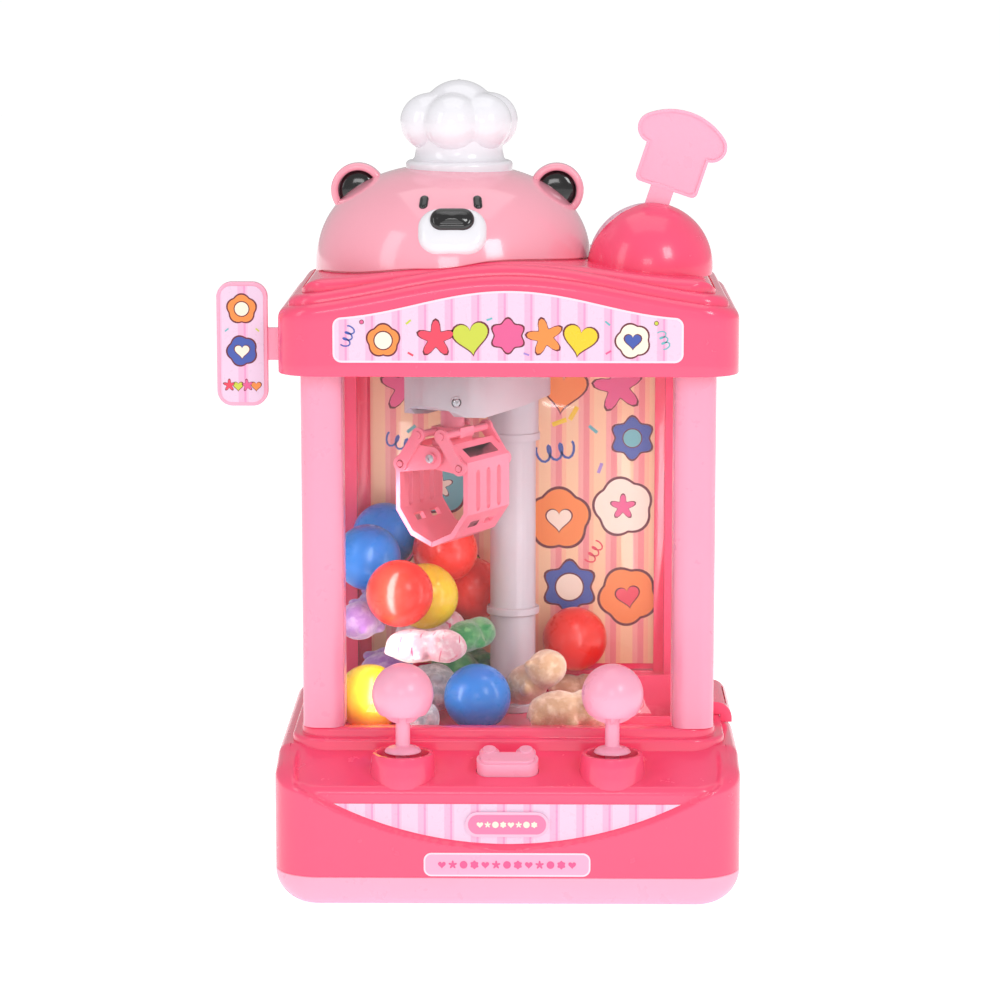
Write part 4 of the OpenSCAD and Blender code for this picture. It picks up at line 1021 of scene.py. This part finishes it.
def make_ball(name, c, mat, node):
    """Hollow ball with a fine moulding seam and a gate mark."""
    rnd = random.Random(name)
    turn = Matrix.Rotation(rnd.uniform(0, 3.1), 3, "X") @ Matrix.Rotation(rnd.uniform(0, 3.1), 3, "Y")
    prof = [(0, -18.0)]
    for a in range(-86, 87, 4):
        k = 18.0 * (1 - 0.0025 * exp(-(a / 2.5) ** 2) * (1 if a else -3))
        prof.append((k * cos(radians(a)), 17.98 * sin(radians(a))))
    prof += [(0.9, 17.9), (0.8, 17.6), (0, 17.55)]
    add_object(name, mesh_of(name, *lathe(prof, 64, c, turn)), mat, "case", (node,), 50)


for i, (c, mat) in enumerate((
        ((-17, -18, 91), "blue"), ((-74.5, -25, 92), "yellow"), ((36, 65, 106), "red"))):
    make_ball("ball_low_%d" % i, c, mat, "prize_balls_low")
for i, (c, mat) in enumerate((
        ((-58.5, -20, 148), "red"), ((-46, 14, 140), "yellow"), ((-22, 65.5, 134), "red"),
        ((-77.5, 22, 160), "blue"), ((-70, 59, 166), "blue"), ((-36, 44, 160), "red"))):
    make_ball("ball_high_%d" % i, c, mat, "prize_balls_high")


def make_plush(name, c, half, r, turn, lift, mat, node):
    """Soft toy: body, head, ears and stubby limbs merged into one lumpy skin."""
    rnd = random.Random(name)
    m = Matrix.Translation(c) @ rotation(turn, "Z") @ rotation(-lift, "Y")
    bm = bmesh.new()

    def blob(p, size, tilt=0):
        part = bmesh.ops.create_icosphere(bm, subdivisions=3, radius=1)["verts"]
        q = m @ Matrix.Translation(p) @ Matrix.Rotation(tilt, 4, "Z") @ Matrix.Diagonal((*size, 1))
        for v in part:
            v.co = (q @ v.co) * MM

    blob((-half * 0.30, 0, 0), (half * 0.68, r * 0.97, r * 0.9))
    blob((half * 0.42, 0, r * 0.06), (half * 0.56, r * 0.92, r * 0.88))
    for s in (-1, 1):
        blob((half * 0.34, s * r * 0.72, r * 0.55), (r * 0.34, r * 0.3, r * 0.2), s * 0.5)
        blob((-half * 0.1, s * r * 0.8, -r * 0.35), (r * 0.42, r * 0.26, r * 0.3), s * 0.7)
        blob((-half * 0.76, s * r * 0.5, -r * 0.2), (half * 0.22, r * 0.3, r * 0.32), s * 0.2)
    me = bpy.data.meshes.new(name)
    bm.to_mesh(me)
    bm.free()
    o = add_object(name, me, mat, "case", (node,), 0)
    rm = o.modifiers.new("skin", "REMESH")
    rm.mode, rm.voxel_size = "VOXEL", 0.0011
    sm = o.modifiers.new("soft", "SMOOTH")
    sm.iterations, sm.factor = 5, 0.6
    bpy.context.view_layer.update()
    bake(o)
    seed = Vector((rnd.uniform(0, 50), rnd.uniform(0, 50), 0))
    me = o.data
    co = [v.co.copy() for v in me.vertices]
    nor = [v.normal.copy() for v in me.vertices]
    for v, p, q in zip(me.vertices, co, nor):
        big = noise.noise(p * 130 + seed)
        tuft = noise.noise(p * 900 + seed)
        v.co = p + q * (0.0005 * big + 0.0002 * tuft - 0.0003)
    me.polygons.foreach_set("use_smooth", [True] * len(me.polygons))
    me.materials.clear()
    me.materials.append(MATS[mat])


for i, args in enumerate((
        ((33, -31, 86), 24, 13.5, 10, 0, "fur_tan"), ((14, -2, 98), 22, 12, -35, 35, "fur_tan"),
        ((-46, -40, 83), 10, 10.5, 0, 0, "fur_grey"), ((-52, 12, 88), 26, 15.5, 20, 0, "fur_grey"),
        ((-28, 60, 88), 22, 15.5, 60, 0, "fur_green"), ((-69, 54, 88), 18, 15.5, 80, 0, "fur_lilac"),
        ((36, 65, 79.5), 16, 7.2, 0, 0, "fur_tan"))):
    make_plush("plush_low_%d" % i, *args, "plush_low")
for i, args in enumerate((
        ((-44, -30, 121), 23, 10.5, -10, 0, "fur_pink"), ((-79, 2, 130), 20, 12, 70, 0, "fur_lilac"),
        ((-21, 6, 120), 17, 10, 50, 0, "fur_green"), ((-44, 42, 116), 20, 12, 10, 0, "fur_pink"),
        ((-74, 54, 128), 15, 11, 80, 0, "fur_lilac"))):
    make_plush("plush_high_%d" % i, *args, "plush_high")

# ---- remaining CAD nodes

for node, mat in (
        ("case_screws", "steel"), ("battery_door", "pale"),
        ("battery_cells", "cells"), ("circuit_board", "board"),
        ("smile_label", "label"), ("power_switch", "dark"), ("cabin_floor", "deep"),
        ("window_front", "glass"), ("window_left", "glass"), ("window_right", "glass"),
        ("speaker", "dark"),
        ("slew_gear", "gear"), ("slew_pinion", "gear"), ("slew_motor", "motor"), ("lift_motor", "motor")):
    o = NODES[node]
    o.data.materials.clear()
    o.data.materials.append(MATS[mat])

# ---- floor, light, camera

bm = bmesh.new()
bmesh.ops.create_grid(bm, x_segments=4, y_segments=4, size=8.0)
me = bpy.data.meshes.new("floor")
bm.to_mesh(me)
bm.free()
floor = bpy.data.objects.new("floor", me)
scene.collection.objects.link(floor)
t = Nodes("floor_white")
t.finish(t.mix(t.noise(t.place(), 0.004, 2), (0.93, 0.93, 0.93, 1), (0.95, 0.95, 0.95, 1)), 0.7,
         Emission_Color=(1, 1, 1, 1), Emission_Strength=0.6)
me.materials.append(t.mat)

world = bpy.data.worlds.new("studio")
scene.world = world
world.use_nodes = True
wt = world.node_tree
sky = wt.nodes["Background"]
sky.inputs[0].default_value = (1, 1, 1, 1)
seen = wt.nodes.new("ShaderNodeLightPath")
level = wt.nodes.new("ShaderNodeMapRange")
level.inputs[3].default_value = 0.52
level.inputs[4].default_value = 1.02
wt.links.new(seen.outputs["Is Camera Ray"], level.inputs[0])
wt.links.new(level.outputs[0], sky.inputs[1])


def area(name, at, aim, size, power, tall=None):
    """Area light at a place in metres, turned to what it lights."""
    d = bpy.data.lights.new(name, "AREA")
    d.shape, d.size, d.energy = "RECTANGLE", size, power
    d.size_y = tall or size
    o = bpy.data.objects.new(name, d)
    scene.collection.objects.link(o)
    o.location = at
    o.rotation_euler = (Vector(aim) - Vector(at)).to_track_quat("-Z", "Y").to_euler()


area("key_right", (0.85, -1.2, 1.0), (0.02, 0, 0.22), 0.42, 5.6, 0.55)
area("fill_left", (-1.1, -0.75, 0.85), (0, 0, 0.22), 0.34, 2.2, 0.9)
area("front", (-0.12, -1.75, 0.66), (0, 0, 0.18), 0.5, 2.0, 0.3)
area("top", (0.0, 0.1, 1.6), (0, 0, 0.2), 1.2, 4)
area("cabin_top", (0.045, -0.046, 0.256), (0, 0.06, 0.06), 0.06, 0.03, 0.012)
for s in (-1, 1):
    area("cabin_side", (s * 0.068, -0.047, 0.15), (s * 0.03, 0.06, 0.13), 0.008, 0.045, 0.12)

cam_data = bpy.data.cameras.new("camera")
cam_data.sensor_width, cam_data.lens = 36.0, 122.4
cam = bpy.data.objects.new("camera", cam_data)
scene.collection.objects.link(cam)
cam.location = (0.020, -1.805, 0.490)
cam.rotation_euler = (radians(90 - 9.268), 0, radians(0.796))
scene.camera = cam
scene.view_settings.view_transform = "Standard"
